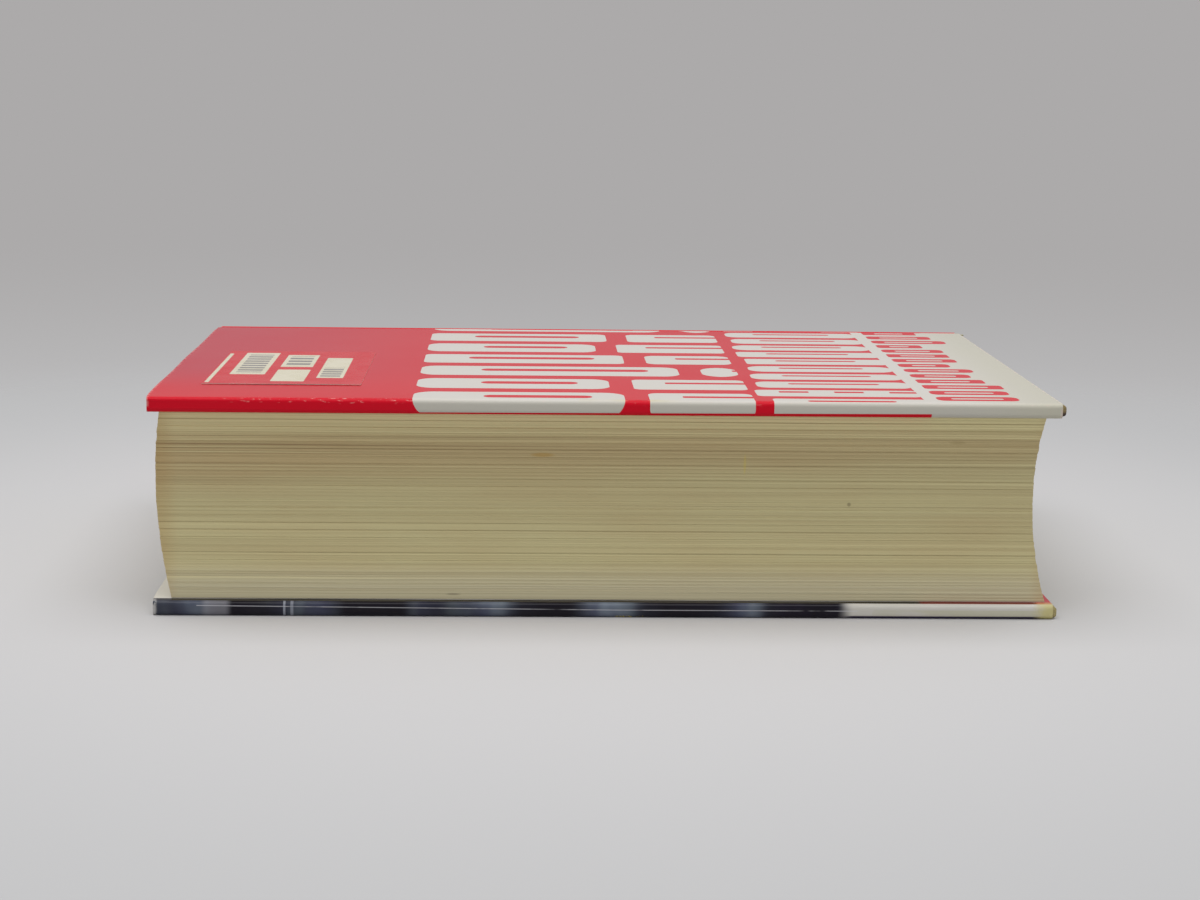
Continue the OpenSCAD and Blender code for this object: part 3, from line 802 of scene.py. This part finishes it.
def jacket_front_finish(form, looks):
    """Glossy printed front of the jacket: plain red at the tail, white marks on red, white head, a
    white flap, rubbed flecks on the crest, yellow stains on the white and painted shade on the
    white of the fold."""
    f = Finish("Front print", Specular_IOR_Level=0.09)
    x, run = f.sheet_map()
    place = f.place()
    cloud = f.noise(place, 38.0, 3.0, 0.6)
    jacket_h = form.s.jacket_h

    # Where it is white: marks on the panel and the spine, and the flap without its red strip.
    border = f.plus(0.0009 - form.fold_run, f.times(x, 0.0045))
    panel = f.between(run, border, form.run_to_ridge)
    on_spine = spine_print(f, x, f.minus(form.run_to_middle, run))
    marks = f.plus(f.times(front_print(f, x, run), panel),
                   f.times(on_spine, f.above(run, form.run_to_ridge)))
    red_flap = f.times(f.below(x, RED_STRIP_TO), f.above(run, -RED_STRIP_DEEP))
    marks = f.most(marks, f.cut(f.below(run, border), red_flap))

    # The plain red is mixed a little towards a paler pink on the panel, most at the tail.
    red = f.mix(f.ramp(cloud, 0.3, 0.7, 0.0, 0.3), looks.red, shade(looks.red, 0.93))
    pinker = f.times(f.ramp(x, 0.09, 0.0, 0.1, 0.75), f.ramp(run, 0.0, 0.06),
                    f.ramp(run, form.run_to_joint, form.run_to_ridge, 1.0, 0.0))
    red = f.mix(pinker, red, written(172, 56, 72))

    # The white is stained in two patches of the fold, greyer with painted shade over the fold, and
    # aged at the head.
    white = f.mix(f.ramp(cloud, 0.4, 0.7, 0.0, 0.4), looks.white,
                  shade(looks.white, 0.97, 0.955, 0.9))
    fold = f.ramp(f.size(f.plus(run, 0.002)), 0.0015, 0.0065, 1.0, 0.0)
    blot = f.ramp(f.noise(f.scaled(place, 36, 90, 200), 1.0, 2.0), 0.5, 0.72)
    patches = f.most(f.bar(x, run, 0.088, 0.106, -0.004, 0.002, 0.002),
                     f.bar(x, run, 0.113, 0.146, -0.003, 0.0015, 0.0015))
    white = f.mix(f.times(blot, fold, patches, looks.wear_and_highlight), white, looks.stain)
    # Painted shade: a darker copy of the white over the side of the fold.
    grey = f.times(f.ramp(run, -0.0018, 0.0002, 1.0, 0.0), f.ramp(run, -0.0075, -0.0065))
    white = f.mix(grey, white, shade(looks.white, 0.835, 0.84, 0.79))
    aged = f.ramp(x, 0.212, jacket_h, 0.0, 0.8)
    white = f.mix(aged, white, shade(looks.white, 0.82, 0.83, 0.72))
    colour = f.mix(marks, red, white)

    # Flecks are rubbed off along the crest of the fold and at the ends.
    grain = f.noise(f.vector(f.times(x, 420.0), f.times(run, 1500.0)), 1.0, 3.0, 0.7)
    crest = f.ramp(f.size(f.plus(run, 0.0008)), 0.0004, 0.0016, 1.0, 0.0)
    near = f.times(crest, f.ramp(x, 0.015, 0.034), f.ramp(x, 0.064, 0.074, 1.0, 0.25))
    ends = f.most(f.ramp(x, 0.0002, 0.0008, 0.5, 0.0),
                  f.ramp(x, jacket_h - 0.0008, jacket_h - 0.0002, 0.0, 0.5))
    rub = f.times(ends, f.ramp(f.noise(place, 700.0, 2.0), 0.45, 0.6), looks.wear_and_highlight)
    scuff = f.most(f.times(f.ramp(grain, 0.58, 0.66), near, looks.wear_and_highlight), rub)
    colour = f.mix(scuff, colour, written(226, 190, 184))
    gloss = f.ramp(cloud, 0.3, 0.7, looks.gloss, looks.gloss + 0.02)
    f.paint(colour, f.plus(gloss, f.times(scuff, 0.35)))
    f.bump(f.noise(f.scaled(place, 16, 10, 10), 1.0, 0.0), 0.00025, 0.5)
    return f.material


# Back of the jacket, as x from the tail edge: where the white field of the panel and the red of
# the flap start, and two thin stripes with half their width and their strength.
FIELD_FROM, RED_FLAP_FROM = 0.184, 0.205
STRIPES = ((0.0352, 0.0003, 0.6), (0.0372, 0.0004, 0.45))


def jacket_back_finish(form, looks):
    """Glossy printed back of the jacket: soft clouds of dark and blue-grey, a white field at the
    head, the spine's print, a cream flap with painted shade along the fold and under the pages, a
    painted highlight along the fold and a rubbed corner."""
    f = Finish("Back print", Specular_IOR_Level=0.18)
    x, run = f.sheet_map()
    place = f.place()
    jacket_h, fold_run = form.s.jacket_h, form.fold_run

    # The print: dark with blue-grey clouds, one pale cloud and two stripes near the tail.
    flat = f.vector(f.times(x, 30.0), f.times(run, 9.0), 3.1)
    cloud = f.noise(flat, 1.0, 2.0, 0.45)
    mist = f.noise(f.scaled(flat, 3.2, 5.0, 1.0), 1.0, 2.0, 0.5)
    haze = f.mix(f.ramp(mist, 0.38, 0.7), looks.haze, written(128, 140, 152))
    ground = f.mix(f.ramp(cloud, 0.44, 0.66), looks.dark, haze)
    dusk = f.mix(f.ramp(mist, 0.4, 0.8, 0.0, 0.5), ground, written(60, 48, 84))
    ground = f.mix(f.ramp(x, 0.10, 0.18, 0.0, 0.35), ground, dusk)
    pale = f.ramp(f.size(f.minus(x, 0.0171)), 0.0022, 0.0045, 0.5, 0.0)
    ground = f.mix(pale, ground, written(150, 150, 158))
    for at, half, amount in STRIPES:
        stripe = f.times(f.between(x, at - half, at + half), amount)
        ground = f.mix(stripe, ground, written(168, 172, 184))
    edge = f.plus(FIELD_FROM, f.times(f.minus(mist, 0.5), 0.006))
    head = f.ramp(f.minus(x, edge), -0.0015, 0.003)
    white = f.mix(f.ramp(mist, 0.3, 0.7, 0.0, 0.4), looks.white, written(196, 196, 186))
    marks = spine_print(f, x, f.minus(form.run_to_middle, run))
    colour = f.mix(f.above(run, form.run_to_ridge), f.mix(head, ground, white),
                   f.mix(marks, looks.red, looks.white))

    # The flap: a dark strip along the fold, painted shadow below the pages, and red at the head,
    # darker with painted shade under the pages.
    shadow_strip = f.times(f.above(run, -fold_run - 0.0021), f.below(x, RED_FLAP_FROM))
    red_end = f.times(f.above(x, RED_FLAP_FROM), f.above(run, -0.02))
    shaded_reds = f.mix(f.ramp(x, 0.2360, 0.2372), shade(looks.red, 0.28), shade(looks.red, 0.85))
    flap = f.mix(red_end, f.mix(shadow_strip, looks.leaf, looks.dark), shaded_reds)
    colour = f.mix(f.below(run, -fold_run + 0.0002), colour, flap)

    # Under the white field the fold is stained below and ends in a dark line at the table.
    grain = f.noise(place, 520.0, 3.0, 0.7)
    damp = f.ramp(f.noise(f.scaled(place, 70, 300, 300), 1.0, 2.0), 0.42, 0.62, 0.1, 0.45)
    damp = f.times(f.bar(x, run, 0.192, 0.246, -0.0032, 0.0004, 0.0010), damp)
    colour = f.mix(damp, colour, written(184, 182, 146))
    foot = f.times(f.ramp(run, -0.0017, -0.0013), f.below(run, 0.0012), head)
    colour = f.mix(foot, colour, written(46, 38, 66))

    # Wear on the fold: a yellowed corner at the head, yellow specks and a rubbed tail edge, and a
    # pale broken line along the fold that is a painted highlight.
    fold = f.ramp(f.size(f.plus(run, 0.002)), 0.002, 0.007, 1.0, 0.0)
    ragged = f.plus(x, f.times(grain, 0.004))
    corner = f.times(f.ramp(ragged, jacket_h - 0.0042, jacket_h + 0.0004), fold)
    colour = f.mix(f.times(corner, 0.9), colour, looks.stain)
    specks = f.times(f.between(x, 0.122, 0.131), f.between(run, -0.0012, 0.0006),
                     f.ramp(f.noise(place, 1600.0, 1.0), 0.52, 0.6))
    colour = f.mix(specks, colour, written(190, 172, 70))
    # Painted highlight: a thin pale line along the fold, broken in places.
    drift = f.math("MINIMUM", f.plus(0.0018, f.times(x, 0.0065)), 0.0026)
    line = f.minus(f.plus(run, fold_run), drift)
    broken = f.ramp(f.noise(f.vector(f.times(x, 60.0)), 1.0, 3.0, 0.7), 0.36, 0.5)
    highlight_line = f.times(f.ramp(f.size(line), 0.00006, 0.00016, 0.9, 0.0), broken,
                     f.between(x, 0.012, 0.188), looks.wear_and_highlight)
    colour = f.mix(highlight_line, colour, written(206, 206, 212))
    tail = f.times(f.ramp(x, 0.0003, 0.0014, 1.0, 0.0), f.ramp(grain, 0.36, 0.5))
    worn = f.times(fold, tail, looks.wear_and_highlight)
    colour = f.mix(worn, colour, written(214, 212, 208))
    gloss = f.ramp(cloud, 0.3, 0.7, looks.gloss - 0.12, looks.gloss - 0.06)
    f.paint(colour, f.plus(gloss, f.times(f.most(corner, worn), 0.4)))
    f.bump(f.times(grain, corner, 0.0003), 1.0, 0.7)
    return f.material


# Print of the label, from its tail and near edges: cream blocks, and fields of grey bars with
# their pitch.
LABEL_BLOCKS = ((0.0052, 0.0150, 0.0190, 0.0640), (0.0178, 0.0270, 0.0060, 0.0290),
                (0.0178, 0.0270, 0.0345, 0.0600), (0.0298, 0.0372, 0.0130, 0.0540),
                (0.0004, 0.0015, 0.0030, 0.0620))
LABEL_BARS = ((0.0066, 0.0136, 0.0230, 0.0600, 0.0046), (0.0190, 0.0258, 0.0380, 0.0570, 0.0058),
              (0.0306, 0.0362, 0.0150, 0.0330, 0.0042))


def label_finish(looks):
    """Printed label: red ground, cream blocks with bands of grey bars, a torn near edge."""
    f = Finish("Label print", Specular_IOR_Level=0.22)
    x, run = f.sheet_map()
    cream = f.most(*(f.bar(x, run, *block, 0.0004) for block in LABEL_BLOCKS))
    band = f.most(*(f.times(f.bar(x, run, *field, 0.0001),
                            f.below(f.math("PINGPONG", run, pitch / 2), pitch * 0.29))
                    for *field, pitch in LABEL_BARS))
    place = f.place()
    cloud = f.noise(place, 160.0, 3.0, 0.6)
    red = f.mix(f.ramp(cloud, 0.3, 0.7, 0.0, 0.25), looks.red, shade(looks.red, 0.85))
    paper = f.mix(f.ramp(cloud, 0.35, 0.7, 0.0, 0.4), written(212, 206, 184),
                  written(186, 178, 150))
    colour = f.mix(f.times(band, 0.85), f.mix(cream, red, paper), written(112, 108, 112))
    torn = f.times(f.ramp(run, 0.0003, 0.0011, 1.0, 0.0), f.ramp(cloud, 0.45, 0.6), looks.wear_and_highlight)
    colour = f.mix(torn, colour, written(168, 84, 78))
    f.paint(colour, f.ramp(cloud, 0.3, 0.7, looks.gloss, looks.gloss + 0.06))
    f.bump(f.noise(place, 120.0, 1.0), 0.00002, 0.3)
    return f.material


def wound_thread():
    """Silk wound over a cord: slanting turns in two tones, the darker one painted shade in the
    grooves between the turns, from the band's own map.
    """
    f = Finish("Wound thread", Roughness=0.5, Specular_IOR_Level=0.4, Sheen_Weight=0.3)
    x, run = f.sheet_map()
    pitch, slant = 0.0007, 0.35
    turns = f.math("SINE", f.times(f.plus(x, f.times(run, slant)), 2 * math.pi / pitch))
    # Painted shade: the darker tone lies in the grooves, the paler one on the turns.
    tone = f.mix(f.ramp(turns, -0.7, 0.6), written(150, 138, 112), written(222, 214, 196))
    f.paint(tone, f.ramp(turns, -1, 1, 0.65, 0.45))
    f.bump(turns, 0.00008, 0.7)
    return f.material


def dressed(piece, materials, body=None, replaced=()):
    """Gives a piece its materials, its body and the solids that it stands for."""
    for material in materials:
        piece.data.materials.append(material)
    if body is not None:
        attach(piece, body)
    if replaced:
        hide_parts(*replaced)
    return piece


# The two covers: the side as Form has it, and the first word of its pieces' names.
SIDES = ((1, "front"), (-1, "back"))


def bent(piece, form, side):
    """Bakes a piece's placing into its mesh. It looks up the hinge where its cover turns, but does
    not make the piece bend.
    """
    joint, start, end = form.hinge(side)
    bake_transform(piece)


def lay_floor(scene, stage):
    """A round floor: rings whose radius grows with their number. Its paper is paler near the
    middle, with painted light, and it fades out at its rim.
    """
    rings, around = 24, 73
    radius = np.linspace(0.001, stage.reach, rings)
    a = np.linspace(0, 2 * math.pi, around)
    grid = np.stack([np.outer(radius, np.cos(a)), np.outer(radius, np.sin(a)),
                     np.zeros((rings, around))], -1)
    mesh = bpy.data.meshes.new("paper_floor")
    mesh.from_pydata(grid.reshape(-1, 3).tolist(), [],
                     strip_of_quads(rings, around)[:, ::-1].tolist())
    floor = bpy.data.objects.new("paper_floor", mesh)
    scene.collection.objects.link(floor)
    f = Finish("Floor paper", Roughness=0.9, Specular_IOR_Level=0.1)
    x, y = f.parts(f.place())[:2]
    away = f.math("SQRT", f.plus(f.times(x, x), f.times(y, y)))
    # Painted light: the paper is paler near the book than towards the rim, easing the book's
    # shadow.
    f.set(f.shader.inputs["Base Color"],
          f.mix(f.ramp(away, 0.1, 0.36), stage.floor, stage.floor_rim))
    f.set(f.shader.inputs["Alpha"],
          f.ramp(away, stage.reach * 0.6, stage.reach - 0.01, 1.0, 0.0))
    mesh.materials.append(f.material)


def hang_light(scene, stage):
    """The world lights the book evenly. To the camera and in reflections it is grey above and
    paler below, by how steeply a direction points down. A wide lamp hangs above."""
    world = bpy.data.worlds.new("Studio")
    scene.world = world
    world.use_nodes = True
    n = Nodes(world.node_tree)
    even = n.tree.nodes["Background"]
    even.inputs["Color"].default_value = (1, 1, 1, 1)
    even.inputs["Strength"].default_value = stage.sky
    height = n.parts(n.add("ShaderNodeTexCoord", "Generated"))[2]
    tone = n.mix(n.ramp(height, -0.2, -0.08), stage.far_floor, stage.distance)
    seen = n.add("ShaderNodeBackground", Color=tone)
    path = n.add("ShaderNodeLightPath").node.outputs
    direct = n.most(path["Is Camera Ray"], path["Is Glossy Ray"], path["Is Transmission Ray"])
    both = n.add("ShaderNodeMixShader", _0=direct, _1=even.outputs[0], _2=seen)
    n.tree.links.new(both, n.tree.nodes["World Output"].inputs[0])

    lamp = bpy.data.lights.new("Lamp above", "AREA")
    lamp.shape, lamp.size, lamp.size_y, lamp.energy = "RECTANGLE", 1.8, 1.6, stage.lamp
    hung = bpy.data.objects.new("Lamp above", lamp)
    hung.location = (-0.1, -0.2, 1.4)
    scene.collection.objects.link(hung)


def aim_camera(scene, stage):
    """Camera at the photograph's angle: yaw to the right, pitch down and roll, in radians."""
    yaw, pitch, roll = 0.0342, 0.17273, 0.0129
    place = (-0.02321, -0.68913, 0.15163)
    eye = bpy.data.cameras.new("Camera")
    eye.lens, eye.sensor_width = stage.lens, 36
    eye.clip_start, eye.clip_end = 0.01, 20
    camera = bpy.data.objects.new("Camera", eye)
    ahead = Vector((math.sin(yaw) * math.cos(pitch), math.cos(yaw) * math.cos(pitch),
                    -math.sin(pitch)))
    right = Vector((math.cos(yaw), -math.sin(yaw), 0))
    up = right.cross(ahead)
    side = right * math.cos(roll) + up * math.sin(roll)
    over = up * math.cos(roll) - right * math.sin(roll)
    turn = Matrix((side, over, -ahead)).transposed().to_4x4()
    turn.translation = place
    camera.matrix_world = turn
    scene.collection.objects.link(camera)
    scene.camera = camera


class BOOK_OT_stage(bpy.types.Operator):
    """Lay out the floor, the lights and the camera"""

    bl_idname = "book.stage"
    bl_label = "Stage"

    def execute(self, context):
        scene, stage = context.scene, context.scene.book_stage
        scene.view_settings.view_transform = "Standard"
        lay_floor(scene, stage)
        hang_light(scene, stage)
        aim_camera(scene, stage)
        return {"FINISHED"}


def way_round(n, m):
    """Way round the outline of the pages, from the tail along the fore-edge, over the head, back
    along the spine and over the tail: u is -1 at the tail and 1 at the head, v is 0 at the
    fore-edge and 1 at the spine. The long runs have n points and the short ones m."""
    u = np.concatenate([np.linspace(-1, 1, n)[:-1], np.ones(m - 1), np.linspace(1, -1, n)[:-1],
                        -np.ones(m - 1)])
    v = np.concatenate([np.zeros(n - 1), np.linspace(0, 1, m)[:-1], np.ones(n - 1),
                        np.linspace(1, 0, m)[:-1]])
    return u, v


class BOOK_OT_pages(bpy.types.Operator):
    """Make the block of pages with its sections and cut edges"""

    bl_idname = "book.pages"
    bl_label = "Pages"

    def execute(self, context):
        sizes, looks = context.scene.book_sizes, context.scene.book_looks
        form = Form(sizes)
        z, inset, move = self.cut_levels(sizes, form)
        rise = form.tip_h - form.half_t
        shoulder = form.half_t + rise * np.linspace(0, 1, 9)[1:]
        level = np.concatenate([-shoulder[::-1], [-form.half_t], z, [form.half_t], shoulder])
        # Nearest point of each level: the cut edge, or on the shoulders the flare's arc.
        above = np.clip(np.abs(level) - form.half_t, 0, None)
        tip = np.where(level > 0, form.tip(1)[0], form.tip(-1)[0])
        reach = np.sqrt(np.clip(form.flare_r**2 - (form.flare_r - above)**2, 0, None))
        on_flare = tip - sizes.shoulder_w + reach
        count = len(shoulder) + 1
        fore = np.concatenate([on_flare[:count], form.fore_y(z), on_flare[-count:]])
        inset = np.pad(inset, (count, count))
        move = np.pad(move, ((count, count), (0, 0)))
        spine = np.maximum(form.spine_y(level), fore)
        # The outline of each level, where the wave bows the fore-edge in and out by a hair.
        n, m = 110, 34
        u, v = way_round(n, m)
        wave = 0.00004 * np.sin(9 * u + 60 * level[:, None]) * (v == 0)
        at_end = np.where(u < 0, move[:, 1:2], move[:, 2:3])
        front = (fore + inset + move[:, 0])[:, None]
        grid = np.stack(np.broadcast_arrays(
            form.end_shift(level)[:, None] + u * (sizes.page_h / 2 - inset[:, None] - at_end),
            front + v * (spine[:, None] - front) + wave,
            form.mid_z + level[:, None]), -1)
        levels, around = grid.shape[:2]
        quads = tube_of_quads(levels, around)
        points = grid.reshape(-1, 3) - form.origin
        # At both tips the fore side meets the spine side. The slit between them keeps a hair's
        # width, so that no face collapses, and is sewn.
        hair = 0.00002
        one = np.arange(n - 1)
        other = (2 * (n - 1) + (m - 1) - one) % around
        for first, flip in ((0, 1), ((levels - 1) * around, -1)):
            sewn = first + np.stack([one, other, (other - 1) % around, one + 1], -1)
            quads = np.concatenate([quads, sewn[:, ::flip]])
            ring = points[first:first + around]
            ring[:, 1] = ring[:, 1].max() - hair * (1 - v)
        piece = made_mesh("page_block", points, quads, angle=30)
        dressed(piece, [page_edges(looks)], "book_block", ["text_block"])
        return {"FINISHED"}

    @staticmethod
    def cut_levels(sizes, form):
        """Levels of the cut edges from the lowest page to the highest, how far each lies back, and
        how it is moved, at the fore-edge, the tail and the head. Each section has a groove at its
        ends and moves a little as a whole."""
        rng = np.random.default_rng(11)
        t = sizes.pages_t / sizes.sections
        w, d, lip, rest = sizes.groove_w / 2, sizes.groove_d, 0.00035, 0.0008
        local = np.array([0, w * 0.6, w, lip, rest, t - rest, t - lip, t - w, t - w * 0.6])
        back = np.array([d, d * 0.7, 0.00003, 0.00001, 0, 0, 0.00001, 0.00003, d * 0.7])
        z = (-form.half_t + t * np.arange(sizes.sections)[:, None] + local).ravel()
        deep = 0.12 + 0.5 * rng.random(sizes.sections) ** 2
        inset = (deep[:, None] * back).ravel()
        inset[0] = 0.00008
        z, inset = np.append(z, form.half_t), np.append(inset, inset[0])
        move = np.repeat(rng.normal(0, 1, (sizes.sections, 3)), len(local), axis=0)
        move = np.vstack([move, move[-1]]) * [0.00003, 0.00005, 0.00005]
        return z, inset, move + rng.normal(0, 1, (len(z), 3)) * [0.000012, 0.00003, 0.00003]


class BOOK_OT_end_papers(bpy.types.Operator):
    """Make the fly leaves and the pastedowns with the strips that join them"""

    bl_idname = "book.end_papers"
    bl_label = "End papers"

    def execute(self, context):
        sizes, looks = context.scene.book_sizes, context.scene.book_looks
        form = Form(sizes)
        paper = plain_paper("End paper", looks.leaf)
        u = np.linspace(-1, 1, 70)[:, None]
        for side, name in SIDES:
            shift = float(form.end_shift(side * form.half_t))
            leaf = made_sheet(name + "_leaf", form, form.leaf(side, 0.0),
                              form.leaf(side, sizes.leaf_t),
                              shift + u * (sizes.page_h / 2 - 0.00005))
            dressed(leaf, [paper, paper], "book_block", [name + "_flyleaf"])

            # The lining is as long as the pastedown on the board, and as the pages on the block.
            inner = form.lining(side, 0.0)
            lean, moved = form.moved(side)
            on_block = smooth((inner[:, 0] - form.board_end - lean + 0.004) / 0.006)
            middle = on_block * shift + (1 - on_block) * moved
            half = (form.cloth_l / 2 - sizes.paste_margin) * (1 - on_block)
            half = half + sizes.page_h / 2 * on_block
            lining = made_sheet(name + "_lining", form, inner, form.lining(side, sizes.leaf_t),
                                middle + u * half)
            dressed(lining, [paper, paper], None, [name + "_pastedown"])
            bent(lining, form, side)
        return {"FINISHED"}


class BOOK_OT_jacket(bpy.types.Operator):
    """Make the two halves of the jacket, from the flaps to the middle of the spine"""

    bl_idname = "book.jacket"
    bl_label = "Jacket"

    def execute(self, context):
        sizes, looks = context.scene.book_sizes, context.scene.book_looks
        form = Form(sizes)
        inside = plain_paper("Jacket inside", looks.leaf)
        # Columns along the book lie closer together near the head and the tail.
        u = np.linspace(-1, 1, 110)
        u = (np.sign(u) * (1 - (1 - np.abs(u)) ** 1.6))[:, None]
        along = form.tail + sizes.jacket_h / 2 + u * sizes.jacket_h / 2
        to_tail = along - form.tail
        to_head = sizes.jacket_h - to_tail
        for side, name in SIDES:
            inner = form.jacket(side, 0.0)[0]
            outer, start, fold = form.jacket(side, sizes.jacket_t)
            run = lengths(outer)
            run -= run[fold]
            form.run_to_middle, form.fold_run = float(run[-1]), -float(run[start])
            lean, moved = form.moved(side)
            form.run_to_joint = float(np.interp(form.board_end + lean, outer[fold:, 0],
                                                run[fold:]))
            form.run_to_ridge = form.run_to_joint + sizes.joint_w
            on_cover = 1 - smooth((outer[:, 0] - form.board_end - lean) / 0.008)
            crest = run + form.fold_run / 2
            free = smooth((run - 0.006) / 0.02) * smooth((form.run_to_joint - run) / 0.01)

            def bend(grid):
                """The fold is dented at the tail and the head, which fades as a bell within a few
                millimetres, a groove under the crest fades as a bell along the front, and the
                panel's tail edge lifts in two slow waves."""
                dent = 0.0003 * bell(to_tail - 0.0001, 0.0011) + 0.00018 * bell(to_head, 0.0012)
                grid[..., 1] += dent * bell(crest, 0.0016)
                grid[..., 0] += 0.0005 * bell(crest, 0.006) * bell(to_tail, 0.003)
                if side > 0:
                    grid[..., 1] += 0.0002 * bell(run + 0.0021, 0.0006) * bell(to_tail, 0.05)
                    wave = 0.5 + 0.5 * np.sin(run / 0.0105 + 0.6)
                    grid[..., 2] += 0.00022 * bell(to_tail, 0.004) * free * wave

            piece = made_sheet(name + "_jacket", form, inner, outer, along + moved * on_cover,
                               fold, bend)
            finish = jacket_front_finish if side > 0 else jacket_back_finish
            dressed(piece, [finish(form, looks), inside], None,
                    ["jacket_" + name, "jacket_spine"])
            bent(piece, form, side)
        return {"FINISHED"}


class BOOK_OT_case(bpy.types.Operator):
    """Make the cloth behind the spine and over the joints, and the open cloth under it"""

    bl_idname = "book.case"
    bl_label = "Case cloth"

    def execute(self, context):
        sizes, looks = context.scene.book_sizes, context.scene.book_looks
        form = Form(sizes)
        cloth = woven("Book cloth", looks.cloth, 0.0006, grime_and_shade=looks.grime_and_shade)
        net = woven("Open weave", looks.leaf, 0.0011, 0.85, 0.5)
        u = np.linspace(-1, 1, 70)[:, None]
        for side, name in SIDES:
            for line, thick, half, kind, finish, node in (
                    (form.spine_cloth, sizes.cloth_t, form.cloth_l / 2, "_spine_cloth", cloth,
                     "spine_cloth"),
                    (form.open_cloth, sizes.mull_t, form.mull_half, "_open_cloth", net,
                     "spine_mull")):
                piece = made_sheet(name + kind, form, line(side, 0.0), line(side, thick), u * half)
                dressed(piece, [finish, finish], None, [node])
                bent(piece, form, side)
        board = grey_board()
        finishes = {"front_board": board, "back_board": board, "front_cloth": cloth,
                    "back_cloth": cloth, "front_mull_tab": net, "back_mull_tab": net,
                    "spine_inlay": plain_paper("Card", written(150, 142, 124), 0.00006),
                    "spine_liner": plain_paper("Liner paper", written(176, 150, 112))}
        for node, material in finishes.items():
            mesh = frame["nodes"][node].data
            mesh.materials.clear()
            mesh.materials.append(material)
        return {"FINISHED"}


class BOOK_OT_bands(bpy.types.Operator):
    """Make the head band and the tail band, wound with thread"""

    bl_idname = "book.bands"
    bl_label = "Head bands"

    def execute(self, context):
        sizes = context.scene.book_sizes
        form = Form(sizes)
        thread = wound_thread()
        count = 320
        # The bands stop a little short of the tips of the shoulders.
        z = np.linspace(-1, 1, count) * form.tip_h * 0.915
        n = z / sizes.round_r
        # A tape and a bead, as points past the end of the pages and behind the spine.
        foot, over = sizes.jacket_air / 2, sizes.band_t
        centre = np.array([foot + sizes.bead_r, over - sizes.bead_r])
        half_w, whole_w = -sizes.band_w / 2, -sizes.band_w
        base = joined(np.array([[whole_w, 0.0], [half_w, 0.0], [foot, 0.0]]),
                      arc(centre, sizes.bead_r, 180, 450, 18),
                      np.array([[half_w, over], [whole_w, over]]))
        bead = np.zeros(len(base), bool)
        bead[4:-3] = True
        # Carried along the rounded spine, where the bead swells at each turn of thread with the
        # size of a sine.
        swell = 1 + 0.05 * np.abs(np.sin(math.pi * np.arange(count) / 4))
        rings = np.repeat(base[None], count, 0)
        rings[:, bead] = centre + (base[bead] - centre) * swell[:, None, None] / 1.05
        around = len(base)
        quads = tube_of_quads(count, around)
        # Each end is closed by quads between the two halves of its ring.
        one = np.arange(around // 2 - 1)
        other = around - 1 - one
        for first, flip in ((0, -1), ((count - 1) * around, 1)):
            cap = first + np.stack([one, one + 1, other - 1, other], -1)
            quads = np.concatenate([quads, cap[:, ::flip]])
        uv = np.stack(np.broadcast_arrays(z[:, None] + form.tip_h, lengths(base)), -1)
        for end, name in ((1, "head"), (-1, "tail")):
            grid = np.empty((count, around, 3))
            x = end * sizes.page_h / 2 + form.end_shift(z)
            grid[..., 0] = x[:, None] + end * rings[..., 0]
            grid[..., 1] = form.spine_y(z)[:, None] + rings[..., 1] * np.sqrt(1 - n * n)[:, None]
            grid[..., 2] = form.mid_z + z[:, None] + rings[..., 1] * n[:, None]
            piece = made_mesh(name + "_bead", grid.reshape(-1, 3) - form.origin, quads,
                              uv.reshape(-1, 2))
            dressed(piece, [thread], "book_block", [name + "_band"])
        return {"FINISHED"}


class BOOK_OT_label(bpy.types.Operator):
    """Make the label on the front of the jacket, its near edge a little lifted"""

    bl_idname = "book.label"
    bl_label = "Label"

    def execute(self, context):
        sizes, looks = context.scene.book_sizes, context.scene.book_looks
        form = Form(sizes)
        u = np.linspace(0, 1, 60)[:, None]
        z = form.book_t + 0.00001
        line = straight((sizes.label_from_fore, z), (sizes.label_from_fore + sizes.label_w, z), 90)
        across = line[:, 0] - sizes.label_from_fore
        along = u * sizes.label_l

        def bend(grid):
            """The near edge curls up as a bell, most towards the tail, and so does the tail edge,
            a little."""
            curl = 0.00014 * (0.35 + 0.65 * np.sin(math.pi * (0.15 + 0.75 * (1 - u))))
            grid[..., 2] += curl * bell(across, 0.0028)
            grid[..., 2] += 0.00006 * bell(along, 0.0012) * smooth(across / 0.01)

        piece = made_sheet("shop_label", form, line, line + [0, sizes.label_t],
                           form.tail + sizes.label_from_tail + along, 0, bend)
        dressed(piece, [label_finish(looks), plain_paper("Label back", looks.leaf)],
                "front_cover", ["label"])
        return {"FINISHED"}


class BOOK_PT_sidebar(bpy.types.Panel):
    """Sizes, colours and steps of the book"""

    bl_idname = "BOOK_PT_sidebar"
    bl_label = "Case-bound book"
    bl_space_type = "VIEW_3D"
    bl_region_type = "UI"
    bl_category = "Book"

    def draw(self, context):
        for group in (context.scene.book_sizes, context.scene.book_looks, context.scene.book_stage):
            box = self.layout.box()
            for name in group.__annotations__:
                box.prop(group, name)
        for operator in STEPS:
            self.layout.operator(operator.bl_idname)


GROUPS = {"book_sizes": BookSizes, "book_looks": BookLooks, "book_stage": BookStage}
STEPS = (BOOK_OT_stage, BOOK_OT_pages, BOOK_OT_end_papers, BOOK_OT_jacket, BOOK_OT_case,
         BOOK_OT_bands, BOOK_OT_label)


def register():
    for cls in (*GROUPS.values(), *STEPS, BOOK_PT_sidebar):
        bpy.utils.register_class(cls)
    for name, cls in GROUPS.items():
        setattr(bpy.types.Scene, name, PointerProperty(type=cls))


def unregister():
    for name in GROUPS:
        delattr(bpy.types.Scene, name)
    for cls in reversed((*GROUPS.values(), *STEPS, BOOK_PT_sidebar)):
        bpy.utils.unregister_class(cls)


def main():
    """Makes the whole book, one step after the other."""
    register()
    for operator in STEPS:
        group, name = operator.bl_idname.split(".")
        getattr(getattr(bpy.ops, group), name)()


if __name__ == "__main__":
    main()
